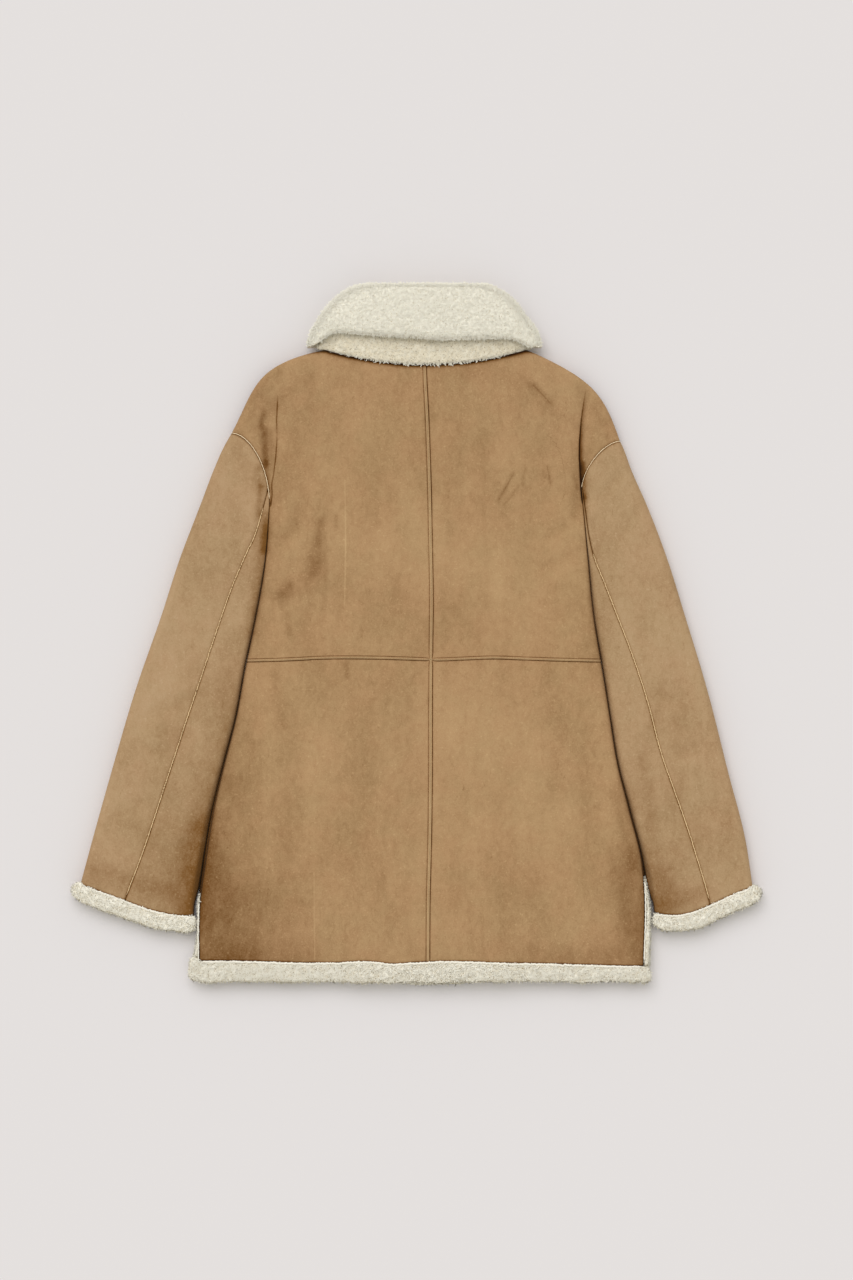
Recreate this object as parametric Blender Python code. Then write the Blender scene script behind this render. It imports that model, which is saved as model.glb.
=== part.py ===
# Shearling coat laid out flat on its front: suede outside, pile inside, fleece collar and edges.
# X runs across the coat from the centre back seam, Y up from the end of the hem, Z up from the floor.
# Every panel is a wall with its real thickness, cut to its own outline and laid on the one below it.
import bpy
import bmesh
import numpy as np

# Thicknesses and layers (metres)
WALL = 0.0105           # suede and pile of one panel
MID = 0.0110            # height of the folded edges, where a back meets a front
LAYER_GAP = 0.0012      # air between a back and the front below it
SEAM_GAP = 0.0003       # air between two pieces at a seam
EDGE_RADIUS = 0.0125    # how far in from a folded edge its rounding reaches
RIM = 0.0012            # thickness that each panel keeps at a folded edge
SLIT = 0.0006           # half the height left inside a flattened sleeve, cuff or collar

# Seams on the back
WAIST = 0.4055
HEM_LINE = 0.0285
RIDGE_HEIGHT = 0.0011   # the turned edges stand up along a seam
RIDGE_CREST = 0.0014
RIDGE_FOOT = 0.0036

# Neck and shoulders: the neck is two arcs that share their ends
NECK_CENTRE = -0.0055
NECK_HALF = 0.1265
NECK_HEIGHT = 0.7900
BACK_NECK_DROP = 0.0180
FRONT_NECK_DROP = 0.0850
NECK_RISE = 0.0080      # the layers climb over the collar's front leaves
NECK_LIFT = 0.0093
NECK_SLOPE = 1.00       # width of that climb, in neck sizes
SHOULDER_FALL = {"left": (12.0, 62.0), "right": (24.0, 71.0)}   # degrees down, at the neck and the tip
SHOULDER_HANDLES = (0.0920, 0.0640)
SHOULDER_TIP = {"left": (-0.2475, 0.6865), "right": (0.2370, 0.6765)}
ARMHOLE_POWER = {"left": 1.85, "right": 1.65}   # 2 is an ellipse, 1 a straight line
UNDERARM = {"left": (-0.2000, 0.5990), "right": (0.1890, 0.6160)}
SIGN = {"left": -1.0, "right": 1.0}

# Where the fronts lap at the centre
LAP_LEFT = -0.0320
LAP_RIGHT = 0.0460
LAP_RISE = 0.0042
LAP_SHOULDER = 0.0300   # how far past the lap the layers stay raised
LAP_SLOPE = 0.0800
LAP_RAMP = 0.0055
LAP_CLEAR = 0.0009

# Sleeve ends
CUFF_OUTER = {"left": 0.1240, "right": 0.1210}
CUFF_INNER = {"left": 0.0845, "right": 0.0890}
CUFF_SAG = {"left": 0.0068, "right": 0.0115}
CUFF_DEPTH = 0.0232
CUFF_GAP = 0.0005
CUFF_WALL = 0.0112
CUFF_OVERHANG_OUTER = 0.0075
CUFF_OVERHANG_INNER = {"left": 0.0022, "right": 0.0040}
FRONT_SEAM = 0.80       # place of the seam under the sleeve, as a share of its width
FOLD_SHARE = 0.80       # a fold's radius is at most this share of a narrow part's width
PILE_EDGE = 0.0101      # how far in from the fold the pile side turns
PILE_SHARE = 0.70       # and at most this share of the fold's radius
SLEEVE_ROW_EASE = 1.15  # above 1 draws the rows together towards the armhole
ARMHOLE_BEND = 4        # how fast the rows straighten below the armhole
CUFF_BEND = 6           # how late they bend down towards the cuff
CUFF_LEAN = 1.6         # above 1 moves the lowest point of the cuff away from its outer edge
UNDERARM_RAMP = 0.1400  # length over which a fold forms below the underarm

# Collar: a ring laid flat, its fall turned down over its stand
COLLAR_CENTRE = -0.0070
COLLAR_TOP = 0.8735
COLLAR_FALL_EDGE = 0.8015
COLLAR_SIDE_EDGE = 0.7945
COLLAR_FRONT_EDGE = 0.7180
COLLAR_TILT = 0.0600
COLLAR_WALL = 0.0088
COLLAR_LEG_GAP = 0.0008
COLLAR_PUFF = 1.14
COLLAR_STAND_HALF = 0.1340
COLLAR_OPENING = 0.0040
COLLAR_BACK_GAP = 0.0008
COLLAR_FRONT_GAP = 0.0024
COLLAR_SIDE_GAP = 0.0060
COLLAR_TOP_POWER = 2.7
COLLAR_LOW_POWER = 4.0
COLLAR_EDGE_POWER = 6   # how late the fall's lower edge rises towards its sides

# Hem bands
HEM_DEPTH = 0.0280
HEM_LEFT = -0.2995
HEM_RIGHT = 0.2775
HEM_PROUD = 0.0016
HEM_INSET = 0.0020
FRONT_HEM_DROP = 0.0035
HEM_DIP_HALF = 0.0550
HEM_DIP_POWER = 4       # how flat the front hem's lowest stretch is
BAR_TURN = 0.0120
BAR_END_STEPS = (0.0000, 0.0020, 0.0060)
BAR_END_SIZES = (0.45, 0.82)
BAND_ROUNDNESS = 0.75   # 1 is an ellipse, 0 a rectangle
VENT_LOW = 0.0015
VENT_HIGH = 0.0200
VENT_SIZES = (0.75, 1.0, 1.0, 1.0, 1.0, 1.0, 1.0, 1.0, 0.6)

# Finishes
SUEDE_COLOUR = (0.40, 0.25, 0.125)
FLEECE_COLOUR = (0.74, 0.69, 0.56)
SHARP_ANGLE = 0.7


def table(columns, *rows):
    # rows of sizes, as one array for each named column
    return dict(zip(columns.split(), np.array(rows, dtype=float).T))


# The body's side edges: distance from the centre seam, gap to the sleeve, and how far the edge is folded
BODY_EDGE = {
    "left": table(
        "height width gap fold",
        (0.0000, 0.2875, 0.0070, 0.35),
        (0.0285, 0.2875, 0.0070, 0.35),
        (0.1040, 0.2865, 0.0066, 0.40),
        (0.1525, 0.2800, 0.0060, 0.80),
        (0.2160, 0.2700, 0.0040, 1.00),
        (0.2760, 0.2560, 0.0024, 1.00),
        (0.3290, 0.2425, 0.0016, 1.00),
        (0.4010, 0.2295, 0.0010, 1.00),
        (0.4540, 0.2180, 0.0007, 1.00),
        (0.5260, 0.2055, 0.0006, 1.00),
        (0.5990, 0.2000, 0.0005, 1.00),
    ),
    "right": table(
        "height width gap fold",
        (0.0000, 0.2660, 0.0125, 0.35),
        (0.0285, 0.2660, 0.0125, 0.35),
        (0.1040, 0.2675, 0.0105, 0.40),
        (0.1525, 0.2640, 0.0040, 0.80),
        (0.2160, 0.2485, 0.0026, 1.00),
        (0.2760, 0.2335, 0.0018, 1.00),
        (0.3290, 0.2250, 0.0014, 1.00),
        (0.4010, 0.2140, 0.0010, 1.00),
        (0.4540, 0.2050, 0.0007, 1.00),
        (0.5260, 0.1975, 0.0006, 1.00),
        (0.6160, 0.1890, 0.0005, 1.00),
    ),
}

# The sleeves' outer edges: distance from the centre seam at each height
SLEEVE_EDGE = table(
    "height left right",
    (0.1225, 0.4365, 0.4024),
    (0.1800, 0.4210, 0.3935),
    (0.2640, 0.3975, 0.3720),
    (0.3660, 0.3675, 0.3461),
    (0.4610, 0.3345, 0.3175),
    (0.5290, 0.3125, 0.2963),
    (0.5990, 0.2857, 0.2696),
    (0.6410, 0.2697, 0.2510),
    (0.6705, 0.2566, 0.2400),
    (0.6865, 0.2475, 0.2320),
)

# The sleeves' back seams: share of the sleeve's width from its outer edge, down its length
SLEEVE_SEAM = table(
    "along left right",
    (0.00, 0.825, 0.935),
    (0.06, 0.790, 0.935),
    (0.12, 0.750, 0.930),
    (0.17, 0.692, 0.895),
    (0.24, 0.643, 0.805),
    (0.38, 0.600, 0.685),
    (0.53, 0.560, 0.607),
    (0.66, 0.540, 0.578),
    (0.79, 0.505, 0.528),
    (0.90, 0.458, 0.490),
    (1.00, 0.392, 0.432),
)

# The collar's fall, seen from above: half width at each height
COLLAR_WIDTH = table(
    "height half",
    (0.7900, 0.1475),
    (0.8040, 0.1430),
    (0.8190, 0.1370),
    (0.8340, 0.1240),
    (0.8490, 0.1110),
    (0.8640, 0.0950),
    (0.8735, 0.0840),
)

# The collar's section, up the stand, over the roll and down the fall. up: 0 at the lower edge, 1 at the
# top; depth: from the middle of the flattened ring; leg: 0 on the stand, 1 on the fall
COLLAR_PROFILE = table(
    "out_up out_depth out_leg in_up in_depth in_leg",
    (0.000, 0.0006, 0.0, 0.000, 0.0094, 0.0),
    (0.300, 0.0006, 0.0, 0.280, 0.0094, 0.0),
    (0.600, 0.0006, 0.0, 0.560, 0.0094, 0.0),
    (0.880, 0.0010, 0.0, 0.830, 0.0094, 0.0),
    (0.970, 0.0040, 0.1, 0.858, 0.0096, 0.3),
    (1.000, 0.0098, 0.5, 0.866, 0.0098, 0.5),
    (0.970, 0.0155, 0.9, 0.858, 0.0100, 0.7),
    (0.880, 0.0182, 1.0, 0.830, 0.0102, 1.0),
    (0.620, 0.0190, 1.0, 0.600, 0.0102, 1.0),
    (0.360, 0.0190, 1.0, 0.350, 0.0102, 1.0),
    (0.120, 0.0184, 1.0, 0.140, 0.0102, 1.0),
    (0.000, 0.0160, 1.0, 0.020, 0.0112, 1.0),
)

# The vents' fleece strips: width at each height above the hem
VENT = {
    "left": table(
        "height width",
        (0.0300, 0.0070),
        (0.0430, 0.0066),
        (0.0600, 0.0042),
        (0.0840, 0.0040),
        (0.1130, 0.0022),
    ),
    "right": table(
        "height width",
        (0.0300, 0.0068),
        (0.0600, 0.0066),
        (0.1000, 0.0064),
        (0.1200, 0.0036),
        (0.1340, 0.0018),
    ),
}

# Soft folds pressed into the back and sleeves: two ends, depth and half width
FOLDS = table(
    "x0 y0 x1 y1 depth reach",
    (0.1960, 0.7400, 0.1885, 0.6750, 0.0032, 0.0100),
    (0.1885, 0.6900, 0.1890, 0.6050, 0.0055, 0.0110),
    (-0.2080, 0.7250, -0.1985, 0.6050, 0.0030, 0.0120),
    (-0.1720, 0.5150, -0.1850, 0.4600, 0.0014, 0.0200),
    (-0.1400, 0.6400, -0.1420, 0.4700, 0.0010, 0.0260),
    (0.1500, 0.6600, 0.1300, 0.5200, 0.0010, 0.0300),
    (-0.3300, 0.4200, -0.3050, 0.3100, 0.0016, 0.0200),
    (0.3150, 0.4000, 0.2850, 0.3000, 0.0016, 0.0220),
    (-0.3900, 0.2400, -0.3100, 0.2150, 0.0014, 0.0180),
    (0.3650, 0.2300, 0.2950, 0.2000, 0.0014, 0.0180),
)


# ---- curves and heights ----

def smooth_step(share):
    share = np.clip(share, 0.0, 1.0)
    return share * share * (3.0 - 2.0 * share)


def smooth_at(place, places, values):
    # value on a smooth curve through the rows of a table (cubic pieces that share their slopes)
    slopes = np.gradient(values, places)
    low = np.clip(np.searchsorted(places, place, side="right") - 1, 0, len(places) - 2)
    span = places[low + 1] - places[low]
    t = (place - places[low]) / span
    rest = 1.0 - t
    start = values[low] * (1.0 + 2.0 * t) * rest**2 + slopes[low] * span * t * rest**2
    end = values[low + 1] * (3.0 - 2.0 * t) * t**2 - slopes[low + 1] * span * t**2 * rest
    return start + end


def points(x, y):
    return np.stack(np.broadcast_arrays(x, y), axis=-1).astype(float)


def along(line, shares):
    # points at given shares of the length of a line of points
    steps = np.linalg.norm(np.diff(line, axis=0), axis=1)
    reach = np.concatenate([[0.0], np.cumsum(steps)]) / steps.sum()
    return points(np.interp(shares, reach, line[:, 0]), np.interp(shares, reach, line[:, 1]))


def length_of(line):
    return np.linalg.norm(np.diff(line, axis=0), axis=1).sum()


def distance_to(line, xy):
    # least distance in plan from each point to a line of points
    start = line[:-1]
    step = line[1:] - start
    away = xy[..., None, :] - start
    share = np.clip((away * step).sum(-1) / (step * step).sum(-1), 0.0, 1.0)
    return np.linalg.norm(away - share[..., None] * step, axis=-1).min(-1)


def body_edge(side, height, column="width"):
    rows = BODY_EDGE[side]
    return smooth_at(np.asarray(height, dtype=float), rows["height"], rows[column])


def body_side_line(side, heights):
    return points(SIGN[side] * body_edge(side, heights), heights)


def back_neck(x):
    share = np.clip(abs(x - NECK_CENTRE) / NECK_HALF, 0.0, 1.0)
    return NECK_HEIGHT - BACK_NECK_DROP * (1.0 - share**2)


def front_neck(x):
    share = np.clip(abs(x - NECK_CENTRE) / NECK_HALF, 0.0, 1.0)
    return NECK_HEIGHT - FRONT_NECK_DROP * np.sqrt(1.0 - share**2)


def neck_end(side):
    return np.array([NECK_CENTRE + SIGN[side] * NECK_HALF, NECK_HEIGHT])


def shoulder_line(side, count=60):
    # from the neck to the shoulder's tip, on a cubic curve with a handle at each end
    start = neck_end(side)
    end = np.array(SHOULDER_TIP[side])
    first, last = (
        handle * np.array([SIGN[side] * np.cos(fall), -np.sin(fall)])
        for handle, fall in zip(SHOULDER_HANDLES, np.radians(SHOULDER_FALL[side]))
    )
    t = np.linspace(0.0, 1.0, count)[:, None]
    near = (1 - t) ** 3 * start + 3 * (1 - t) ** 2 * t * (start + first)
    return near + 3 * (1 - t) * t**2 * (end - last) + t**3 * end


def armhole_curve(side, count=60):
    # a quarter superellipse from the underarm up to the shoulder's tip
    turn = np.linspace(np.pi / 2, 0.0, count)
    power = 2.0 / ARMHOLE_POWER[side]
    tip = np.array(SHOULDER_TIP[side])
    inward = (np.array(UNDERARM[side]) - tip)[0] * np.sin(turn) ** power
    upward = (tip - np.array(UNDERARM[side]))[1] * np.maximum(np.cos(turn), 0.0) ** power
    return points(tip[0] + inward, UNDERARM[side][1] + upward)


def rounding(distance, fold=1.0):
    # 0 at a folded edge and 1 where the panel is flat, on a quarter circle
    share = np.clip(distance / EDGE_RADIUS, 0.0, 1.0)
    return 1.0 - fold + fold * np.sqrt(1.0 - (1.0 - share) ** 2)


def near_neck(xy):
    # 1 inside the front neck's arc and its mirror image, falling to 0 around them
    across = (xy[..., 0] - NECK_CENTRE) / NECK_HALF
    down = (xy[..., 1] - NECK_HEIGHT) / FRONT_NECK_DROP
    return smooth_step(1.0 + (1.0 - np.hypot(across, down)) / NECK_SLOPE)


def mid_height(xy):
    # height of the layer between back and fronts
    outside = np.maximum(LAP_LEFT - xy[..., 0], xy[..., 0] - LAP_RIGHT) - LAP_SHOULDER
    lap = LAP_RISE * smooth_step(1.0 - outside / LAP_SLOPE)
    neck = near_neck(xy)
    return MID + lap * (1.0 - neck) + NECK_RISE * neck


def fold_depth(xy):
    # troughs along short lines, deepest at their middles and fading sideways
    depth = np.zeros(xy.shape[:-1])
    for x0, y0, x1, y1, deep, reach in zip(*FOLDS.values()):
        start = np.array([x0, y0])
        step = np.array([x1, y1]) - start
        share = ((xy - start) @ step) / (step @ step)
        off = np.linalg.norm(xy - start - np.clip(share, 0.0, 1.0)[..., None] * step, axis=-1)
        depth = np.maximum(depth, deep * np.exp(-((off / reach) ** 2)))
    return depth


def side_fold(side, y):
    # how far the body's side edge is folded: not at all at the armhole, fully some way below it
    forming = smooth_step((UNDERARM[side][1] - y) / UNDERARM_RAMP)
    return forming * body_edge(side, np.minimum(y, UNDERARM[side][1]), "fold")


def edge_rounding(side, xy):
    # the flatness left by the nearer folded edge, either the side seam's or the shoulder's
    low = UNDERARM[side][1]
    off_side = abs(body_edge(side, np.minimum(xy[..., 1], low)) - SIGN[side] * xy[..., 0])
    at_side = rounding(off_side, side_fold(side, xy[..., 1]))
    at_shoulder = rounding(distance_to(shoulder_line(side), xy))
    return np.minimum(at_side, at_shoulder)


def seam_ridge(xy):
    # the pressed seam stands up a little on both of its sides
    off = np.minimum(abs(xy[..., 0]), abs(xy[..., 1] - WAIST))
    return RIDGE_HEIGHT * np.clip((RIDGE_FOOT - off) / (RIDGE_FOOT - RIDGE_CREST), 0.0, 1.0)


def back_top(side, xy):
    low = mid_height(xy) + LAYER_GAP / 2 + RIM
    flat = mid_height(xy) + WALL - fold_depth(xy)
    return low + (flat - low) * edge_rounding(side, xy) + seam_ridge(xy)


def back_under(side, xy):
    return mid_height(xy) + LAYER_GAP / 2


def lap_under(xy):
    # 1 where the right front runs under the left one
    start = LAP_RIGHT + LAP_CLEAR
    return np.interp(xy[..., 0], [start, start + LAP_RAMP], [1.0, 0.0])


def lap_over(xy):
    # 1 where the left front runs over the right one
    start = LAP_LEFT - LAP_CLEAR
    return np.interp(xy[..., 0], [start - LAP_RAMP, start], [0.0, 1.0])


def front_top(side, xy):
    flat = mid_height(xy) - LAYER_GAP / 2
    if side == "left":
        return flat
    lifted = NECK_LIFT * near_neck(xy)
    return flat - lap_under(xy) * ((flat - lifted) / 2 + LAP_CLEAR / 2)


def front_under(side, xy):
    high = mid_height(xy) - LAYER_GAP / 2 - RIM
    lifted = NECK_LIFT * near_neck(xy)
    low = high - (high - lifted) * edge_rounding(side, xy)
    if side == "right":
        return low
    return low + lap_over(xy) * ((high + RIM - lifted) / 2 + LAP_CLEAR / 2)


# ---- grids of points in plan ----

def fine_end(length, count):
    # offsets along a run, even at first and finer where it rounds over a fold at its end
    turned = length - EDGE_RADIUS * np.array([0.5, 0.134, 0.0])
    return np.concatenate([np.linspace(0.0, length - EDGE_RADIUS, count + 1), turned])


def after_ridge(offsets):
    # the same offsets with two more beside the seam that the run starts from
    return np.concatenate([[0.0, RIDGE_CREST, RIDGE_FOOT], offsets[1:]])


def blend_grid(bottom, top, inner, outer, across, up):
    # a surface between four border lines: the two ways of joining them, less their shared corners
    u = across[:, None, None]
    v = up[None, :, None]
    rails = (1 - v) * bottom[:, None] + v * top[:, None]
    rungs = (1 - u) * inner[None] + u * outer[None]
    corners = (1 - u) * ((1 - v) * bottom[0] + v * top[0]) + u * ((1 - v) * bottom[-1] + v * top[-1])
    return rails + rungs - corners


ARMHOLE_STEPS = 7
UPPER_COLUMNS = 12
LOWER_COLUMNS = 8
NECK_COLUMNS = 5


def armhole_line(side):
    # the armhole's own points, shared by the panels and the sleeve
    curve = armhole_curve(side)
    length = length_of(curve)
    return along(curve, fine_end(length, ARMHOLE_STEPS) / length)


def outer_line(side, start, count):
    # up the side edge from a height to the underarm, then round the armhole
    heights = np.linspace(start, UNDERARM[side][1], count + 1)
    side_part = body_side_line(side, heights)
    side_part[-1] = UNDERARM[side]
    return np.concatenate([side_part[:-1], armhole_line(side)])


def top_line(side, inner_x, neck, shares, neck_share):
    # along the neck seam, by equal turns of its arc, and then the shoulder
    first = np.arcsin(SIGN[side] * (inner_x - NECK_CENTRE) / NECK_HALF)
    turn = first + (np.pi / 2 - first) * np.minimum(shares / neck_share, 1.0)
    x = NECK_CENTRE + SIGN[side] * NECK_HALF * np.sin(turn)
    neck_part = points(x, neck(x))
    shoulder_part = along(shoulder_line(side), np.clip((shares - neck_share) / (1 - neck_share), 0, 1))
    return np.where((shares <= neck_share)[:, None], neck_part, shoulder_part)


def column_shares(width, count, ridge=True):
    offsets = fine_end(width, count)
    if ridge:
        offsets = after_ridge(offsets)
    return offsets / width


def back_upper_plan(side):
    seam_x = SIGN[side] * SEAM_GAP / 2
    low_y = WAIST + SEAM_GAP / 2
    outer = outer_line(side, low_y, 7)
    ridge = body_side_line(side, np.array([low_y + RIDGE_CREST, low_y + RIDGE_FOOT]))
    outer = np.insert(outer, 1, ridge, axis=0)
    across = column_shares(abs(outer[0, 0]), UPPER_COLUMNS)
    steps = np.linalg.norm(np.diff(outer, axis=0), axis=1)
    up = np.concatenate([[0.0], np.cumsum(steps)]) / steps.sum()
    neck_share = across[NECK_COLUMNS + 2]
    top = top_line(side, seam_x, back_neck, across, neck_share)
    inner = points(seam_x, low_y + (top[0, 1] - low_y) * up)
    inner[1:3, 1] = outer[1:3, 1]
    bottom = points(seam_x + (outer[0, 0] - seam_x) * across, low_y)
    return blend_grid(bottom, top, inner, outer, across, up)


def back_lower_plan(side):
    seam_x = SIGN[side] * SEAM_GAP / 2
    high_y = WAIST - SEAM_GAP / 2
    heights = high_y - after_ridge(np.linspace(0.0, high_y - HEM_LINE, 11))
    outer = body_side_line(side, heights)
    across = column_shares(abs(outer[0, 0]), LOWER_COLUMNS)
    return points(
        seam_x + (outer[None, :, 0] - seam_x) * across[:, None],
        np.broadcast_to(heights, (len(across), len(heights))),
    )


def front_plan(side):
    # fixed columns over the lap, then a blended patch out to the side
    edge = {"left": LAP_RIGHT, "right": LAP_LEFT}[side]
    near = {"left": LAP_LEFT - LAP_CLEAR, "right": LAP_RIGHT + LAP_CLEAR}[side]
    foot = near + SIGN[side] * LAP_RAMP
    outer = outer_line(side, HEM_LINE, 9)
    steps = np.linalg.norm(np.diff(outer, axis=0), axis=1)
    up = np.concatenate([[0.0], np.cumsum(steps)]) / steps.sum()
    across = column_shares(abs(outer[0, 0] - foot), UPPER_COLUMNS, ridge=False)
    top = top_line(side, foot, front_neck, across, across[NECK_COLUMNS])
    inner = points(foot, HEM_LINE + (top[0, 1] - HEM_LINE) * up)
    bottom = points(foot + (outer[0, 0] - foot) * across, HEM_LINE)
    patch = blend_grid(bottom, top, inner, outer, across, up)
    lap_x = np.array([edge, (edge + near) / 2, near])[:, None]
    lap = points(lap_x, HEM_LINE + (front_neck(lap_x) - HEM_LINE) * up[None, :])
    return np.concatenate([lap, patch])


# ---- sleeves ----

def sleeve_outer(side, height):
    return points(SIGN[side] * smooth_at(height, SLEEVE_EDGE["height"], SLEEVE_EDGE[side]), height)


def sleeve_inner(side, height):
    low = np.minimum(height, UNDERARM[side][1])
    return points(SIGN[side] * (body_edge(side, low) + body_edge(side, low, "gap")), height)


def sleeve_plan(side, across, down):
    # straight rows from the outer edge to the inner one, bent to the armhole above and the cuff below
    tip = SHOULDER_TIP[side][1]
    outer = sleeve_outer(side, tip + (CUFF_OUTER[side] - tip) * down)
    inner = sleeve_inner(side, UNDERARM[side][1] + (CUFF_INNER[side] - UNDERARM[side][1]) * down)
    row = outer + (inner - outer) * across[..., None]
    shift = SEAM_GAP * np.array([SIGN[side], -1.0])
    arm = along(armhole_line(side)[::-1], np.clip(across, 0.0, 1.0)) + shift
    start = np.array(SHOULDER_TIP[side])
    chord = start + (sleeve_inner(side, UNDERARM[side][1]) - start) * across[..., None]
    row = row + ((1.0 - down) ** ARMHOLE_BEND)[..., None] * (arm - chord)
    lean = np.clip(across, 0.0, 1.0) ** CUFF_LEAN
    row[..., 1] -= CUFF_SAG[side] * down**CUFF_BEND * np.sin(np.pi * lean)
    return row


def sleeve_width(side, down):
    # length of each row of the sleeve, by short steps
    shares = np.linspace(0.0, 1.0, 9)[:, None] * np.ones(len(down))
    rows = sleeve_plan(side, shares, np.broadcast_to(down, shares.shape))
    return np.linalg.norm(np.diff(rows, axis=0), axis=-1).sum(0)


def turned_edge(fold):
    # shares of the radius in from an edge and of the height, down round the fold from top to bottom;
    # an edge that is not folded keeps its square corner
    turn = np.radians([90.0, 60.0, 30.0, 0.0, -30.0, -60.0, -90.0])
    circle = np.stack([np.cos(turn), np.sin(turn)])
    square = circle / abs(circle).max(0)
    shape = square[..., None] + (circle - square)[..., None] * fold
    return 1.0 - shape[0], shape[1]


def sleeve_wall(side, part, rows=17, flat_top=5, flat_under=3):
    # grids of the outside and the pile side, from the back seam over the fold to the front seam
    down = np.linspace(0.0, 1.0, rows) ** SLEEVE_ROW_EASE
    width = sleeve_width(side, down)
    seam = smooth_at(down, SLEEVE_SEAM["along"], SLEEVE_SEAM[side]) * width
    front = FRONT_SEAM * width
    if part == "under":
        seam = width - seam
        front = width - front
        fold = smooth_step(down * (UNDERARM[side][1] - CUFF_INNER[side]) / UNDERARM_RAMP)
    else:
        fold = np.ones(rows)
    seam = seam - SEAM_GAP / 2
    front = front - SEAM_GAP / 2
    radius = np.minimum(EDGE_RADIUS, FOLD_SHARE * seam)
    inward, rise = turned_edge(fold)
    first = np.linspace(0.0, 1.0, flat_top + 1)[:-1, None]
    last = np.linspace(0.0, 1.0, flat_under + 1)[1:, None]
    flat_part = seam + (radius - seam) * first
    front_part = radius + (front - radius) * last
    offset = np.concatenate([flat_part, radius * inward, front_part])
    level = np.concatenate([np.ones((flat_top, rows)), rise, -np.ones((flat_under, rows))])
    pile_edge = np.minimum(PILE_EDGE, PILE_SHARE * radius)
    pile_turn = pile_edge + (radius - pile_edge) * inward
    pile_offset = np.concatenate([flat_part, pile_turn, front_part])
    outside = sleeve_points(side, part, offset, level, down, width, False)
    pile = sleeve_points(side, part, pile_offset, level, down, width, True)
    return outside, pile


def sleeve_points(side, part, offset, level, down, width, pile):
    across = offset / width
    if part == "under":
        across = 1.0 - across
    xy = sleeve_plan(side, across, np.broadcast_to(down, across.shape))
    if pile:
        height = MID + SLIT * level
    else:
        high = WALL - fold_depth(xy) * (level > 0)
        height = MID + np.where(level > 0, high, MID) * level
    return np.concatenate([xy, height[..., None]], axis=-1)


def cuff_loops(side, flat=12, turned=5, around=10):
    # a soft tube of fleece led round the flattened sleeve end
    ends = sleeve_plan(side, np.array([0.0, 1.0]), np.ones(2))
    chord = ends[1] - ends[0]
    width = np.linalg.norm(chord)
    chord = chord / width
    out = np.array([chord[1], -chord[0]]) * SIGN[side] * -1.0
    half_z = SLIT + CUFF_WALL / 2
    turned_in = half_z + CUFF_WALL / 2
    low = turned_in - CUFF_OVERHANG_OUTER
    high = width + CUFF_OVERHANG_INNER[side] - turned_in
    bend = np.linspace(np.pi / 2, -np.pi / 2, turned + 2)[1:-1]
    run = np.linspace(low, high, flat)
    offset = np.concatenate([run, high + half_z * np.cos(bend), run[::-1], low - half_z * np.cos(bend)])
    level = np.concatenate([np.ones(flat), np.sin(bend), -np.ones(flat), -np.sin(bend)])
    sideways = np.concatenate([np.zeros(flat), np.cos(bend), np.zeros(flat), -np.cos(bend)])
    turn = np.linspace(0.0, 2 * np.pi, around, endpoint=False)
    axial = CUFF_DEPTH / 2 * (1.0 + soft(np.cos(turn))) + CUFF_GAP
    radial = CUFF_WALL / 2 * soft(np.sin(turn))
    station = offset[:, None] + sideways[:, None] * radial
    base = sleeve_plan(side, station / width, np.ones(station.shape))
    xy = base + axial[None, :, None] * out
    z = turned_in + level[:, None] * (half_z + radial)
    return np.concatenate([xy, z[..., None]], axis=-1)


def soft(wave):
    # squarer than a circle
    return np.sign(wave) * abs(wave) ** BAND_ROUNDNESS


# ---- collar ----

def collar_half(up, leg, inside):
    # half width of the flattened ring for the stand's leg (0) and the fall's (1), by height from 0 to 1
    height = COLLAR_SIDE_EDGE + (COLLAR_TOP - COLLAR_SIDE_EDGE) * up
    fall = smooth_at(height, COLLAR_WIDTH["height"], COLLAR_WIDTH["half"])
    stand = np.minimum(fall - COLLAR_WALL - COLLAR_LEG_GAP, COLLAR_STAND_HALF)
    if inside:
        fall = fall - COLLAR_WALL
    else:
        stand = stand - COLLAR_WALL
    return stand + (fall - stand) * leg


def collar_stations(quarter=11):
    # places across the flattened neck, from the front opening to the left side, over the back to the
    # right side, and to the opening again; the second array says which lie on the back
    sweep = np.linspace(-np.pi / 2, np.pi / 2, 2 * quarter - 1)
    front = sweep[quarter - 1:].copy()
    front[0] = COLLAR_OPENING / COLLAR_STAND_HALF
    across = np.concatenate([-np.sin(front), np.sin(sweep)[1:-1], np.sin(front[::-1])])
    on_top = np.zeros(len(across), dtype=bool)
    on_top[quarter:-quarter] = True
    return np.clip(across, -1.0, 1.0)[:, None], on_top[:, None]


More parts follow.
